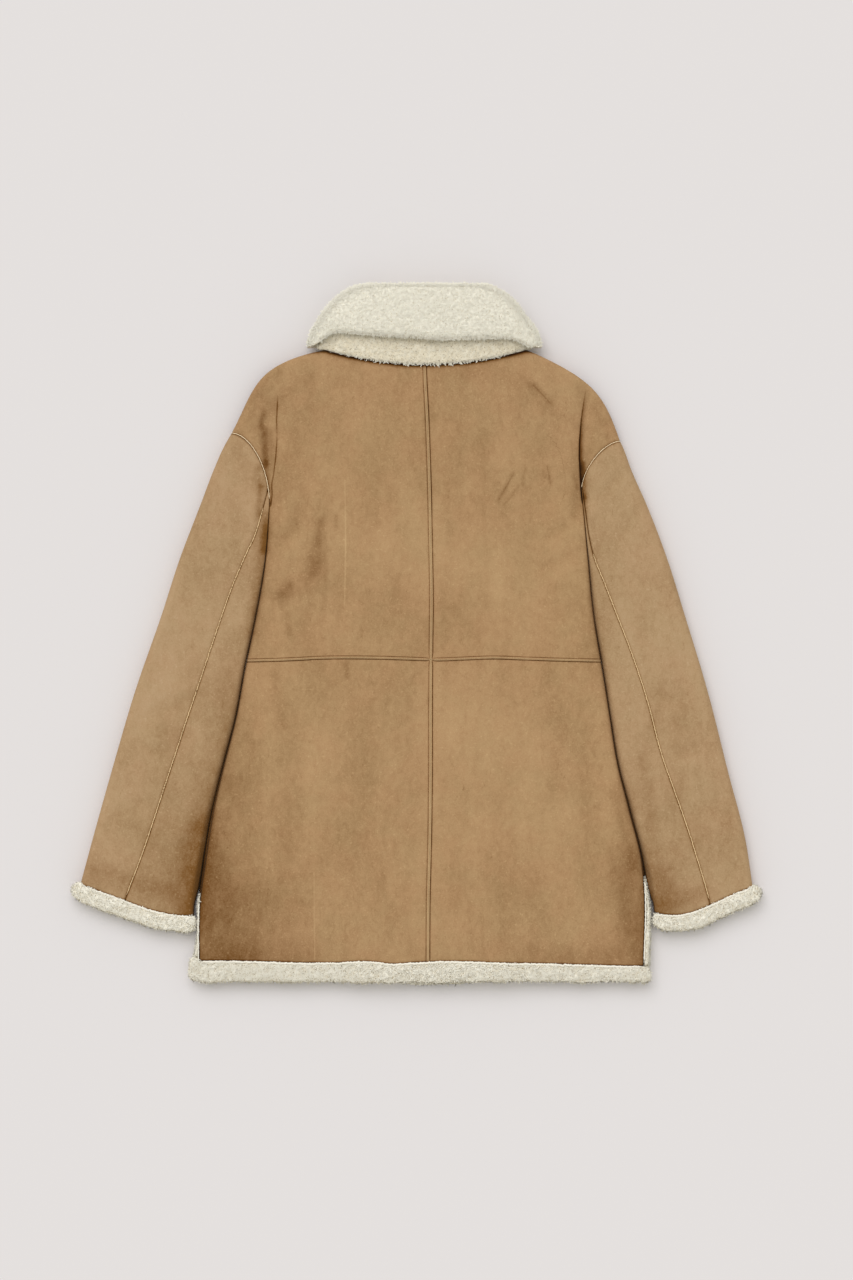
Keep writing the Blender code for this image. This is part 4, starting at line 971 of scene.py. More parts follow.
# each fleece: crest, hollow, strength of the pits and sheen; on the pile, crest and hollow are painted lit
# and shaded tones and the pits are painted shadow, while on the sewing they are its own pale and dark colours
fleeces = {
    "fleeceCollar": ((1.000, 0.958, 0.815), (0.780, 0.690, 0.505), 0.85, 0.35),
    "fleeceEdge": ((0.990, 0.945, 0.810), (0.740, 0.655, 0.480), 1.20, 0.35),
    "rawEdge": ((0.940, 0.740, 0.480), (0.300, 0.160, 0.065), 0.0, 0.0),
    "stitchedSeam": ((0.800, 0.580, 0.320), (0.230, 0.120, 0.048), 0.0, 0.0),
    "foldedEdge": ((0.990, 0.940, 0.815), (0.880, 0.790, 0.620), 0.2, 0.1),
}
pitShadow = (0.230, 0.160, 0.075)
napGroup, curlGroup = makeNapGroup(), makeCurlGroup()
materials = {
    name: addMaterial(name, napGroup, finishes["reads"], inputs, finishes["suede"], finishes["suedeBump"])
    for name, inputs in suedes.items()
}
for name, (crest, hollow, pits, sheen) in fleeces.items():
    inputs = {"Crest": crest, "Hollow": hollow, "Shadow": pitShadow, "Pits": pits}
    look = {**finishes["fleece"], "Sheen Weight": sheen}
    materials[name] = addMaterial(name, curlGroup, {"Curl": "curl"}, inputs, look, finishes["fleeceBump"])
print("materials made")


# suede panels
def addWall(name, outside, inside, material, mark):
    # a closed wall with suede outside and pile inside
    faces = wallFaces(outside.shape[:2])
    values = {"mark": mark, "curl": np.full(mark.shape, hiddenSide["curl"])}
    if name.startswith("back"):
        values.update(zip(("lineOffset", "lineCore", "lineSide"), nearestLine(outside[..., :2])))
        outside, inside = bendPlan(outside), bendPlan(inside)
    values = {key: np.tile(value.ravel(), 2) for key, value in values.items()}
    slots = np.repeat([0, 1, 0], [len(part) for part in faces])
    finish = [materials[material], materials["fleeceEdge"]]
    piece = addMesh("suede_" + name, np.stack([outside, inside]), faces, finish, values, slots)
    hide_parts(name)


panelStep = {"back": 0.0024, "front": 0.0065}
# the fronts' hidden side: strength and reach of the painted shade near its edge, and the pile's tone inside
# the walls
hiddenSide = {"shade": 0.8, "within": 0.02, "curl": 0.4}
# painted shade beside the sleeve seams on the top and under parts, and a little more over all the under part
sleeveShades = {"top": 0.45, "under": 1.0, "lower": 0.04}
for side, own in sideSizes.items():
    for part, makePlan in (("upper", backUpperPlan), ("lower", backLowerPlan)):
        plan = makePlan(side, panelStep["back"])
        addWall("back_" + part + "_" + side, liftPlan(plan, backTop(side, plan)),
                liftPlan(plan, midHeight(plan) + coat["layerGap"] / 2), "suedeBody",
                suedeMarkAndShade(plan) + backShade(side, plan) + seamPaintedLight(plan))
    plan = frontPlan(side, panelStep["front"])
    # painted shade near the front's side edge, where it lies deep in the gap beside the sleeve
    nearEdge = smoothStep(1.0 - fromSide(side, plan) / hiddenSide["within"])
    sagged = plan + points(own["sign"] * edgeSag(side, plan[..., 1]) * nearEdge, 0.0)
    under, top = liftPlan(sagged, frontUnder(side, plan)), liftPlan(plan, frontTop(side, plan))
    mark = suedeMarkAndShade(plan * np.array([-1.0, 1.0])) + hiddenSide["shade"] * nearEdge
    addWall("front_" + side, under, top, "suedeBody", mark)
    for part in ("top", "under"):
        outside, pile = sleeveWall(side, part)
        place = outside[..., :2]
        fromSeam, fromCuff, fromArm = (
            np.linalg.norm(place - edge, axis=-1) for edge in (place[:1], place[:, -1:], place[:, :1]))
        # painted shade beside the seam, cuff and armhole, and along the under part's fold into the gap
        paintedShade = sleeveShades[part] * edgeShade(sleeveSeam=fromSeam) + edgeShade(cuff=fromCuff, armhole=fromArm)
        if part == "under":
            fromFold = np.linalg.norm(place - place[sleeves["flatTop"] + sleeves["turns"] // 2], axis=-1)
            paintedShade += sleeveShades["lower"] + edgeShade(sleeveInner=fromFold, sleeveInnerSoft=fromFold)
        mark = suedeMarkAndShade(place) + paintedShade
        addWall("sleeve_" + side + "_" + part, outside, pile, "suedeSleeve", mark)
print("suede panels made")


# fleece
def gridNormals(grid, aroundA=False, aroundB=False):
    # unit normals, square to the differences between neighbours both ways
    def slope(axis, around):
        if around:
            return np.roll(grid, -1, axis=axis) - np.roll(grid, 1, axis=axis)
        return np.gradient(grid, axis=axis)
    return unit(np.cross(slope(0, aroundA), slope(1, aroundB)))


fleece = {
    "curlCell": 0.0052, "curlHeight": 0.0011, "lumpCell": 0.017, "lumpHeight": 0.0009, "inset": 0.0021,
    "curlBend": 0.8, "bendCell": 1.9, "curlWidth": 2.4, "curlLevel": 0.55, "fineTone": 0.18,
    "fineCell": 0.0024, "fineHeight": 0.0005, "curlTop": 0.92, "curlShare": 0.55, "lowerShade": 0.50,
    "lowerPower": 1.5, "lowerFrom": -0.40, "endTone": 0.5, "hiddenFrom": -0.3, "hiddenShare": 0.25,
    "onFloor": 0.001,
}
# tufts: length, radius, sideways lean, share of the tuft's own shape in its shading, upward share of it
tuft = {
    "length": 0.0024, "radius": 0.00078, "lean": 0.95, "shape": 0.26, "upward": 0.42,
    "rings": ((-0.25, 0.95), (0.52, 0.90)), "twist": 1.2, "flat": 0.8, "tip": 0.86,
    # tones: root, middle and tip, the root painted darker as painted shade deep in the pile
    "tones": (0.45, 0.75, 1.0), "toneSpread": 0.25,
    "lengths": (0.65, 1.35), "radii": (0.7, 1.3), "leans": (0.4, 1.2),
}


def curlField(where, cell, seed):
    # winding crests: nearness to zero of one noise whose place is bent by three others
    bend = np.stack([latticeNoise(where, cell * fleece["bendCell"], seed + k) for k in (1, 2, 3)], axis=-1)
    field = latticeNoise(where + bend * cell * fleece["curlBend"], cell, seed)
    return 1.0 - np.minimum(abs(field) * fleece["curlWidth"], 1.0)


def fluff(grid, normals, seed, amount=1.0, curly=1.0):
    # the surface moved along its normals by curls and broader lumps; gives as well a tone that is painted
    # darker in the curls' troughs, as painted shade
    curl = curlField(grid, fleece["curlCell"], seed)
    fine = latticeNoise(grid, fleece["fineCell"], seed + 8)
    rise = fleece["curlHeight"] * curly * (curl - fleece["curlLevel"]) + fleece["fineHeight"] * fine
    rise += fleece["lumpHeight"] * latticeNoise(grid, fleece["lumpCell"], seed + 7)
    tone = fleece["curlTop"] - fleece["curlShare"] * curly * (1.0 - curl) + fleece["fineTone"] * fine
    grid = grid + normals * (amount * (rise - fleece["inset"]))[..., None]
    grid[..., 2] = np.maximum(grid[..., 2], coat["floorGap"])
    return grid, np.clip(tone, 0.0, 1.0)


plainTuft = tuft["length"], tuft["upward"], tuft["radius"]


def tuftMesh(seats, normals, brush, seed, length, upward, radius, shade=0.0):
    # each tuft: two rings of three corners and a tip, along a line that starts on the normal and bends over
    rng = np.random.default_rng(seed)
    count = len(seats)
    length = length * rng.uniform(*tuft["lengths"], count)[:, None]
    radius = radius * rng.uniform(*tuft["radii"], count)[:, None]
    side = unit(np.cross(normals, rng.normal(size=(count, 3))))
    lean = side * tuft["lean"] * rng.uniform(*tuft["leans"], count)[:, None] + brush
    across = np.cross(normals, side)
    rings = [
        seats + length * (normals * share + lean * max(share, 0.0) ** 2)
        + radius * width * (side * np.cos(angle) * tuft["flat"] + across * np.sin(angle))
        for share, width in tuft["rings"]
        for angle in np.linspace(0.0, 2 * np.pi, 3, endpoint=False) + share * tuft["twist"]
    ]
    vertices = np.stack(rings + [seats + length * (normals * tuft["tip"] + lean)], axis=1)
    quads = np.array([[0, 1, 4, 3], [1, 2, 5, 4], [2, 0, 3, 5]])
    tris = np.array([[3, 4, 6], [4, 5, 6], [5, 3, 6], [0, 2, 1]])
    start = np.arange(count)[:, None, None] * 7
    # shade darkens a whole tuft as painted shade; below 0 it paints the tuft paler, a painted highlight
    tone = rng.uniform(-tuft["toneSpread"], tuft["toneSpread"], count)[:, None] - shade
    curl = np.clip(np.repeat(tuft["tones"], (3, 3, 1)) + tone, 0.0, 1.0)
    # the shading leans to the fleece's own normal, because light passes between the fibres
    out = normals[:, None] + tuft["shape"] * unit(vertices - vertices[:, :6].mean(1, keepdims=True))
    out[..., 2] += upward
    faces = (quads + start).reshape(-1, 4), (tris + start).reshape(-1, 3)
    return vertices.reshape(-1, 3), *faces, curl.ravel(), out.reshape(-1, 3)


def scatter(grid, normals, count, seed, weight=1.0, aroundA=False, aroundB=False):
    # seats spread evenly over a grid's area, or by a weight, with the normals there
    rng = np.random.default_rng(seed)
    far, side = np.roll(grid, -1, axis=0), np.roll(grid, -1, axis=1)
    both = np.roll(far, -1, axis=1)
    area = np.linalg.norm(np.cross(far - grid, side - grid), axis=-1) * weight
    if not aroundA:
        area[-1] = 0.0
    if not aroundB:
        area[:, -1] = 0.0
    total = np.cumsum(area.ravel())
    pick = np.searchsorted(total, (np.arange(count) + rng.uniform(size=count)) / count * total[-1])
    a, b = np.unravel_index(np.minimum(pick, area.size - 1), area.shape)
    s, t = rng.uniform(size=(2, count, 1))
    near = grid[a, b] * (1 - s) * (1 - t) + far[a, b] * s * (1 - t)
    return near + side[a, b] * (1 - s) * t + both[a, b] * s * t, normals[a, b]


def addPile(name, parts, material):
    # each part gives the arguments of tuftMesh; together they make one piece
    vertices, quads, tris, curl, out = zip(*(tuftMesh(*part) for part in parts))
    starts = np.cumsum([0] + [len(part) for part in vertices[:-1]])
    quads, tris = (
        np.concatenate([faces + start for faces, start in zip(kind, starts)]) for kind in (quads, tris))
    vertices = np.concatenate(vertices)
    vertices[:, 2] = np.maximum(vertices[:, 2], coat["floorGap"])
    piece = addMesh(name, vertices, [quads, tris], [materials[material]], {"curl": np.concatenate(curl)})
    normals = unit(np.concatenate(out))
    piece.data.normals_split_custom_set_from_vertices([tuple(normal) for normal in normals.tolist()])
    return piece


def soft(wave):
    # a sine or a cosine with its size raised to a power below 1, so that a circle gets squarer
    return np.sign(wave) * abs(wave) ** bands["square"]


def addBand(name, loops, closed, tufts, seed, brush, amount=1.0):
    # a band of fleece: loops of points joined along a path, curled, with tufts all over it
    normals = gridNormals(loops, closed, True)
    normals = normals * np.sign((normals * (loops - loops.mean(axis=1, keepdims=True))).sum())
    grid, curl = fluff(loops, normals, seed, amount)
    rows = np.arange(grid.shape[0] * grid.shape[1]).reshape(grid.shape[:2])
    vertices, faces = grid.reshape(-1, 3), [gridFaces(rows, closed, True)]
    # painted shade on the band's lower-facing side, away from the light
    curl = (curl - fleece["lowerShade"] * np.clip(-normals[..., 1], 0.0, 1.0) ** fleece["lowerPower"]).ravel()
    if not closed:
        vertices = np.concatenate([vertices, [grid[0].mean(0), grid[-1].mean(0)]])
        curl = np.append(curl, [fleece["endTone"]] * 2)
        faces.append(capFaces(rows))
    piece = addMesh("fleece_" + name, vertices, faces, [materials["fleeceEdge"]], {"curl": curl})
    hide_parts(name)
    weight = np.where(normals[..., 2] > fleece["hiddenFrom"], 1.0, fleece["hiddenShare"])
    weight = weight * (grid[..., 2] > fleece["onFloor"])
    seats, directions = scatter(grid, normals, tufts, seed + 50, weight, closed, True)
    # the tufts on that side get the same painted shade
    low = directions[:, 1] < fleece["lowerFrom"]
    addPile("pile_" + name, [
        (seats[~low], directions[~low], brush, seed + 60, *plainTuft),
        (seats[low], directions[low], brush, seed + 61, *plainTuft, fleece["lowerShade"]),
    ], "fleeceEdge")


bands = {
    "square": 0.75,
    "hemDepth": 0.0280, "hemLeft": -0.3030, "hemRight": 0.2775, "hemProud": 0.0016, "hemInset": 0.0020,
    "frontDrop": 0.0035, "dipHalf": 0.0550, "around": 44, "step": 0.0022,
    "endSizes": (0.30, 0.56, 0.78, 0.93), "endSteps": (0.0, 0.0010, 0.0028, 0.0060), "evenFrom": 0.0080,
    "endRise": 0.0062, "riseFrom": -0.2850,
    "riseRun": 0.0060, "riseLow": 0.35, "riseVent": 0.6, "hemSag": (0.0012, 0.05), "ripple": (0.0008, 0.0045),
    "ventLow": 0.0015, "ventHigh": 0.0212, "ventFoot": 0.0010, "ventRows": 50, "ventAround": 28,
    "ventEnds": ((0.006, 0.6), (0.012, 0.5)), "ventAmount": 0.80, "overlap": 0.0018,
    "cuffDepth": 0.0256, "cuffGap": -0.0024, "cuffWall": 0.0112,
    "cuffOverhang": 0.0112, "cuffEnd": 0.0075, "cuffTip": 0.50, "cuffLift": 0.0026, "liftReach": 0.012,
    "cuffRun": 66, "cuffBend": 11, "cuffAround": 36,
    "hemTufts": 6400, "frontTufts": 1100, "cuffTufts": 2300, "ventTufts": 900,
    "hemBrush": (0.0, -0.15, 0.0), "brush": (0.0, -0.1, 0.0),
}
ventWidths = {
    "left": table("height width", "", """
    20 9.2 / 33 9 / 40 6.6 / 46 5.2 / 56 3.4 / 68 1.8 / 86 1.8 / 96 3.2 / 113 1.8
    """),
    "right": table("height width", "", """
    20 8 / 60 8 / 100 7.4 / 120 4.4 / 134 2
    """),
}


def barLoops(x, lowY, highY, lowZ, highZ):
    # a rounded bar across the coat: squared ellipses, smaller at both ends
    turn = np.linspace(0.0, 2 * np.pi, bands["around"], endpoint=False)
    ends = np.array(bands["endSizes"])
    size = np.concatenate([ends, np.ones(len(x) - 2 * len(ends)), ends[::-1]])
    y, z = (
        (low + high)[:, None] / 2 + ((high - low) * size)[:, None] / 2 * soft(wave)
        for low, high, wave in ((lowY, highY, np.cos(turn)), (lowZ, highZ, np.sin(turn)))
    )
    return np.stack([np.broadcast_to(x[:, None], y.shape), y, z], axis=-1)


def barStations(start, end):
    steps, inner = np.array(bands["endSteps"]), bands["evenFrom"]
    count = int((end - start - 2 * inner) / bands["step"])
    return np.concatenate([start + steps, np.linspace(start + inner, end - inner, count), end - steps[::-1]])


def ripple(x, key, level, seed):
    height, cell = bands[key]
    return height * planNoise(points(x, level), cell, seed)


def hemBack():
    # the left end stands a little higher than the rest
    x = barStations(bands["hemLeft"], bands["hemRight"])
    rise = bands["endRise"] * smoothStep((bands["riseFrom"] - x) / bands["riseRun"])
    high = coat["hemLine"] + bands["overlap"] + hemShift(x) + rise
    low = coat["hemLine"] - bands["hemDepth"] + bands["riseLow"] * rise
    low = low + ripple(x, "hemSag", 0.1, 71) + ripple(x, "ripple", 0.3, 73)
    level = midHeight(points(x, coat["hemLine"]))
    return barLoops(x, low, high, level + coat["layerGap"] / 2, level + coat["wall"] + bands["hemProud"])


def hemFront(side):
    inset = bands["hemInset"]
    if side == "left":
        x = barStations(bands["hemLeft"] + inset, coat["lapRight"])
    else:
        x = barStations(coat["lapLeft"], bands["hemRight"] - inset)
    line = points(x, coat["hemLine"])
    flat = midHeight(line) - coat["layerGap"] / 2
    high = np.full(len(x), coat["hemLine"] - coat["seamGap"])
    dip = hump(x - (coat["lapLeft"] + coat["lapRight"]) / 2, bands["dipHalf"], 4)
    low = high - bands["hemDepth"] + inset - (bands["frontDrop"] + inset) * dip
    half = flat / 2 + coat["lapClear"] / 2
    if side == "left":
        return barLoops(x, low, high, lapOver(line) * half, flat)
    return barLoops(x, low, high, 0.0 * flat, flat - lapUnder(line) * half)


def cuffChord(side):
    # a sleeve end's width, and the way its cuff faces
    ends = sleevePlan(side, np.array([0.0, 1.0]), np.ones(2))
    width = np.linalg.norm(ends[1] - ends[0])
    chord = (ends[1] - ends[0]) / width
    return width, np.array([chord[1], -chord[0]]) * -sideSizes[side]["sign"]


def cuffLoops(side):
    # a soft tube led round the flattened end of a sleeve: along the top, round the fold, back below
    width, out = cuffChord(side)
    wall, many = bands["cuffWall"], bands["cuffRun"]
    halfZ = coat["slit"] + wall / 2
    inset = halfZ + wall / 2
    low, high = inset - bands["cuffOverhang"], width + sideSizes[side]["overhangInner"] - inset
    run = np.linspace(low, high, many)
    bend = np.linspace(np.pi / 2, -np.pi / 2, bands["cuffBend"])[1:-1]
    offset = np.concatenate([run, high + halfZ * np.cos(bend), run[::-1], low - halfZ * np.cos(bend)])
    level = np.concatenate([np.ones(many), np.sin(bend), -np.ones(many), -np.sin(bend)])
    sideways = np.concatenate([np.zeros(many), np.cos(bend), np.zeros(many), -np.cos(bend)])
    turn = np.linspace(0.0, 2 * np.pi, bands["cuffAround"], endpoint=False)
    # the ends are narrowed on a rounded curve, so that the band's corners are round in plan
    inward = np.clip(np.minimum(offset - offset.min(), offset.max() - offset) / bands["cuffEnd"], 0.0, 1.0)
    full = np.maximum(np.cbrt(1.0 - (1.0 - inward) ** 3), bands["cuffTip"])[:, None]
    axial = bands["cuffDepth"] * (0.5 + 0.5 * full * soft(np.cos(turn))) + bands["cuffGap"]
    axial = axial + ripple(offset, "ripple", 0.3, 75)[:, None] * np.clip(np.cos(turn), 0.0, 1.0)
    axial = axial - bands["cuffLift"] * hump(offset - offset.min(), bands["liftReach"])[:, None]
    radial = wall / 2 * soft(np.sin(turn))
    station = offset[:, None] + sideways[:, None] * radial
    xy = sleevePlan(side, station / width, np.ones(station.shape)) + axial[..., None] * out
    return liftPlan(xy, inset + level[:, None] * (halfZ + radial))


def ventLoops(side):
    rows, sign = ventWidths[side], sideSizes[side]["sign"]
    foot = coat["hemLine"] + hemShift(sign * bodyEdge(side, coat["hemLine"])) - bands["ventFoot"]
    foot += bands["riseVent"] * bands["endRise"] * (side == "left")
    y = np.linspace(foot, rows["height"][-1], bands["ventRows"])
    width = smoothAt(y, rows, "width") + bands["overlap"]
    middle = bodyEdge(side, y) - bands["overlap"] / 2 + width / 2
    turn = np.linspace(0.0, 2 * np.pi, bands["ventAround"], endpoint=False)
    (footRun, footSize), (topRun, topSize) = bands["ventEnds"]
    size = np.minimum((y - y[0]) / footRun + footSize, (y[-1] - y) / topRun + topSize)
    size = np.clip(size, 0.0, 1.0)[:, None]
    low, high = bands["ventLow"], bands["ventHigh"]
    x = middle[:, None] + width[:, None] / 2 * soft(np.cos(turn))
    z = (low + high) / 2 + (high - low) / 2 * size * soft(np.sin(turn))
    return np.stack([sign * x, np.broadcast_to(y[:, None], x.shape), z], axis=-1)


addBand("hem_back", hemBack(), False, bands["hemTufts"], 100, bands["hemBrush"])
for side, seed in (("left", 200), ("right", 300)):
    brush, amount = bands["brush"], bands["ventAmount"]
    addBand("hem_front_" + side, hemFront(side), False, bands["frontTufts"], seed + 20, brush)
    addBand("cuff_" + side, cuffLoops(side), True, bands["cuffTufts"], seed + 40, brush)
    addBand("vent_" + side, ventLoops(side), False, bands["ventTufts"], seed + 60, brush, amount)
print("fleece bands made")

collar = {
    "centre": -0.0070, "top": 0.8735, "sideEdge": 0.7945, "frontEdge": 0.7180, "tilt": 0.0600, "wall": 0.0088,
    "legGap": 0.0008, "puff": 1.14, "standHalf": 0.1340, "opening": 0.0040, "backGap": 0.0003,
    "frontGap": 0.0024, "sideGap": 0.0060, "topPower": 2.7, "lowPower": 4.0, "quarter": 105,
    "frontQuarter": 42, "finer": 10,
    "curly": 0.30, "standShade": 0.72, "brim": 0.05, "brimShade": 1.6, "edgeReach": 0.015, "edgeShade": 0.8,
    "fallFrom": 0.38, "fallRun": 0.1, "standTo": 0.30, "standRun": 0.08, "hiddenShare": 0.35,
    "rimFrom": 0.99, "rimRun": 0.30, "rimLow": -0.10, "rimHeight": 0.004, "rimUp": 1.1, "standTuftsTo": 0.20,
    "tufts": 10500, "standTufts": 1500, "rimTufts": 3400,
}
collarWidths = table("height half", "", """
    790 148 / 804 146 / 819 140 / 834 128 / 849 114.5 / 864 97.5 / 873.5 84
""")
collarProfile = table("outDepth inDepth", "outUp outLeg inUp inLeg", """
    0.6 9.4 0 0 0 0 / 0.6 9.4 0.3 0 0.28 0 / 0.6 9.4 0.6 0 0.56 0 / 1 9.4 0.88 0 0.83 0 /
    4 9.6 0.97 0.1 0.858 0.3 / 9.8 9.8 1 0.5 0.866 0.5 / 15.5 10 0.97 0.9 0.858 0.7 /
    18.2 10.2 0.88 1 0.83 1 / 19 10.2 0.62 1 0.6 1 / 19 10.2 0.36 1 0.35 1 / 18.4 10.2 0.12 1 0.14 1 /
    16 11.2 0 1 0.02 1
""")
# the fall's lower edge over the back
fallEdges = table("x y", "", """
    -156 794.5 / -144 795.5 / -136.3 800 / -125 808.5 / -115 811.5 / -90 809 / -70 807.5 / -18.8 804 /
    18.8 801.8 / 61.3 803 / 95 804 / 108 801 / 121.9 793.5 / 130 793 / 142 794.5
""")
# rows of tufts on the collar's two edges: count, seeds, places across, depths, half width and lift
fringes = {
    "foot": (900, (450, 451), (-0.124, 0.113), (0.00235, 0.0094), 0.1340, 0.0012),
    "edge": (900, (452, 453), (-0.138, 0.127), (0.0120, 0.0176), 0.1475, 0.0014),
}
fringeForm = {"within": 0.98, "way": (0.0, -0.80, 0.60)}
# brush, seed, length, upward share, radius and shade of each kind of tuft; the shade is painted shade on the
# stand under the fall and on the foot at the neck, and below 0 a painted highlight on the rim
collarTufts = {
    "fall": ((0.0, -0.25, 0.0), 460, 0.0017, 1.6, 0.00066, 0.0),
    "stand": ((0.0, -0.25, 0.0), 461, 0.0020, 1.2, 0.00072, 0.50),
    "rim": ((0.0, 0.1, 0.0), 464, 0.0024, 0.9, 0.00072, -0.2),
    "edge": ((0.0, -0.2, -0.1), 463, 0.0026, 1.6, 0.00060, 0.0),
    "foot": ((0.0, -0.2, -0.15), 462, 0.0044, 1.6, 0.00100, 0.20),
}


def collarHalf(up, leg, inside):
    # half width of the flattened ring, for the stand's leg (0) and the fall's (1)
    height = collar["sideEdge"] + (collar["top"] - collar["sideEdge"]) * up
    fall = smoothAt(height, collarWidths, "half")
    stand = np.minimum(fall - collar["wall"] - collar["legGap"], collar["standHalf"])
    if inside:
        fall = fall - collar["wall"]
    else:
        stand = stand - collar["wall"]
    return stand + (fall - stand) * leg


def collarLevel(share, power):
    # a superellipse's height
    return (1.0 - abs(share) ** power) ** (1.0 / power)


def collarGrids():
    # a folded band led round the flattened neck: up the stand, over the roll and down the fall
    quarter = collar["frontQuarter"]
    sweep = np.linspace(-np.pi / 2, np.pi / 2, 2 * collar["quarter"] - 1)
    front = np.linspace(0.0, np.pi / 2, quarter)
    front[0] = collar["opening"] / collar["standHalf"]
    across = np.concatenate([-np.sin(front), np.sin(sweep)[1:-1], np.sin(front[::-1])])
    across = np.clip(across, -1, 1)[:, None]
    onTop = np.zeros(across.shape, dtype=bool)
    onTop[quarter:-quarter] = True
    level = collarLevel(across, np.where(onTop, collar["topPower"], collar["lowPower"]))
    level = level * np.where(onTop, collar["puff"], -1.0)
    forward = np.where(onTop, 0.0, np.sqrt(1.0 - across**2))
    high = collar["top"] - collar["tilt"] * forward
    frontEdge = collar["sideEdge"] + (collar["frontEdge"] - collar["sideEdge"]) * forward
    last = len(collarProfile["outUp"]) - 1
    profile = {"station": np.arange(last + 1.0), **collarProfile}
    fine = np.linspace(0.0, last, last * collar["finer"] + 1)
    grids = []
    for face in ("out", "in"):
        up, depth, leg = (smoothAt(fine, profile, face + name) for name in ("Up", "Depth", "Leg"))
        x = collar["centre"] + collarHalf(up, leg, face == "in") * across
        clearX = x + collar["sideGap"] * np.sign(across)
        seam = np.where(onTop, backNeck(x) + collar["backGap"], frontNeck(clearX) + collar["frontGap"])
        edge = np.where(onTop, np.interp(x, fallEdges["x"], fallEdges["y"]), frontEdge)
        foot = seam + (np.maximum(edge, seam) - seam) * leg
        height = coat["mid"] + coat["neckRise"] + depth * level
        grids.append(liftPlan(points(x, foot + (high - foot) * up), height))
    return *grids, onTop


def fringe(key, edge):
    count, seeds, ends, depths, half, lift = fringes[key]
    x, depth = (
        np.random.default_rng(seed).uniform(*span, count) for seed, span in zip(seeds, (ends, depths)))
    share = np.clip((x - collar["centre"]) / half, -fringeForm["within"], fringeForm["within"])
    z = coat["mid"] + coat["neckRise"] + depth * collar["puff"] * collarLevel(share, collar["topPower"])
    return np.stack([x, edge(x) + lift, z], axis=-1), np.tile(fringeForm["way"], (count, 1))


def addCollar():
    outside, inside, onTop = collarGrids()
    normals, inward = (
        normal * np.sign((normal * away).sum())
        for normal, away in zip(map(gridNormals, (outside, inside)), (outside - inside, inside - outside))
    )
    span = np.linspace(0.0, 1.0, outside.shape[1])
    fall = smoothStep((span - collar["fallFrom"]) / collar["fallRun"])[None, :]
    stand = smoothStep((collar["standTo"] - span) / collar["standRun"])[None, :] * onTop
    grid, curl = fluff(outside, normals * fall[..., None], 400, 1.0, collar["curly"])
    pileSide, pileCurl = fluff(inside, inward * stand[..., None], 420, 1.0, collar["curly"])
    # painted shade: the stand's pile under the fall, the fall's underside at its edge, and a dark line along
    # the fall's lower edge
    pileCurl = np.clip(pileCurl - collar["standShade"] * stand, 0.0, 1.0)
    pileCurl = pileCurl - collar["brimShade"] * hump(1.0 - span, collar["brim"])[None, :] * onTop
    curl = curl - collar["edgeShade"] * hump(1.0 - span, collar["edgeReach"])[None, :] * onTop
    walls, values = wallFaces(grid.shape[:2]), {"curl": np.stack([curl, pileCurl])}
    piece = addMesh("fleece_collar", np.stack([grid, pileSide]), walls, [materials["fleeceCollar"]], values)
    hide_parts("collar")
    up, height = normals[..., 2], grid[..., 2]
    weight = fall * np.where(onTop, 1.0, collar["hiddenShare"]) * (height > fleece["onFloor"])
    rim = fall * onTop * smoothStep((collar["rimFrom"] - up) / collar["rimRun"])
    rim = rim * (up > collar["rimLow"]) * (height > collar["rimHeight"])
    standWeight = stand * (span < collar["standTuftsTo"])[None, :]
    rimSeats, rimWays = scatter(grid, normals, collar["rimTufts"], 441, rim)
    seats = {
        "fall": scatter(grid, normals, collar["tufts"], 440, weight),
        "stand": scatter(pileSide, inward, collar["standTufts"], 445, standWeight),
        "rim": (rimSeats, unit(rimWays + np.array([0.0, 0.0, collar["rimUp"]]))),
        "edge": fringe("edge", lambda x: np.interp(x, fallEdges["x"], fallEdges["y"])),
        "foot": fringe("foot", backNeck),
    }
    parts = [(*seats[key], *row) for key, row in collarTufts.items()]
    return piece, addPile("pile_collar", parts, "fleeceCollar")


collarPiece, collarPile = addCollar()
print("collar made")

# each bead has its radius, material, and how pale and how speckled it is; the rest shapes and places them
beads = {
    "sides": 7, "spacing": 0.0012, "uneven": 0.25, "sizes": (0.85, 0.30), "taper": (60.0, 0.04),
    "scatter": 0.7, "armRows": 80, "seamRows": 160, "cuffRows": 120, "cuffFrom": 0.03, "cuffTo": 0.97,
    "ventRows": 60, "hemRows": 300, "hemEnds": 0.001, "hemAt": 0.03, "ventFrom": 0.0010,
    "armhole": (0.00048, "rawEdge", 0.96, 0.26), "leftSleeve": (0.00064, "stitchedSeam", 0.70, 0.36),
    "rightSleeve": (0.00064, "stitchedSeam", 0.70, 0.16), "cuff": (0.00150, "foldedEdge", 0.85, 0.10),
    "vent": (0.00080, "foldedEdge", 0.85, 0.10), "hem": (0.00150, "foldedEdge", 0.90, 0.10),
    "armFrom": 4, "armBeside": 0.0022, "armProud": 0.0010, "seamProud": 0.0004, "cuffOut": 0.0013,
    "cuffDrop": 0.0015, "ventOut": 0.0010, "ventDrop": 0.0008, "hemOut": 0.0013, "hemDrop": 0.0014,
    "seamFrom": {"left": 8, "right": 26}, "ventTo": {"left": 0.100, "right": 0.128},
}


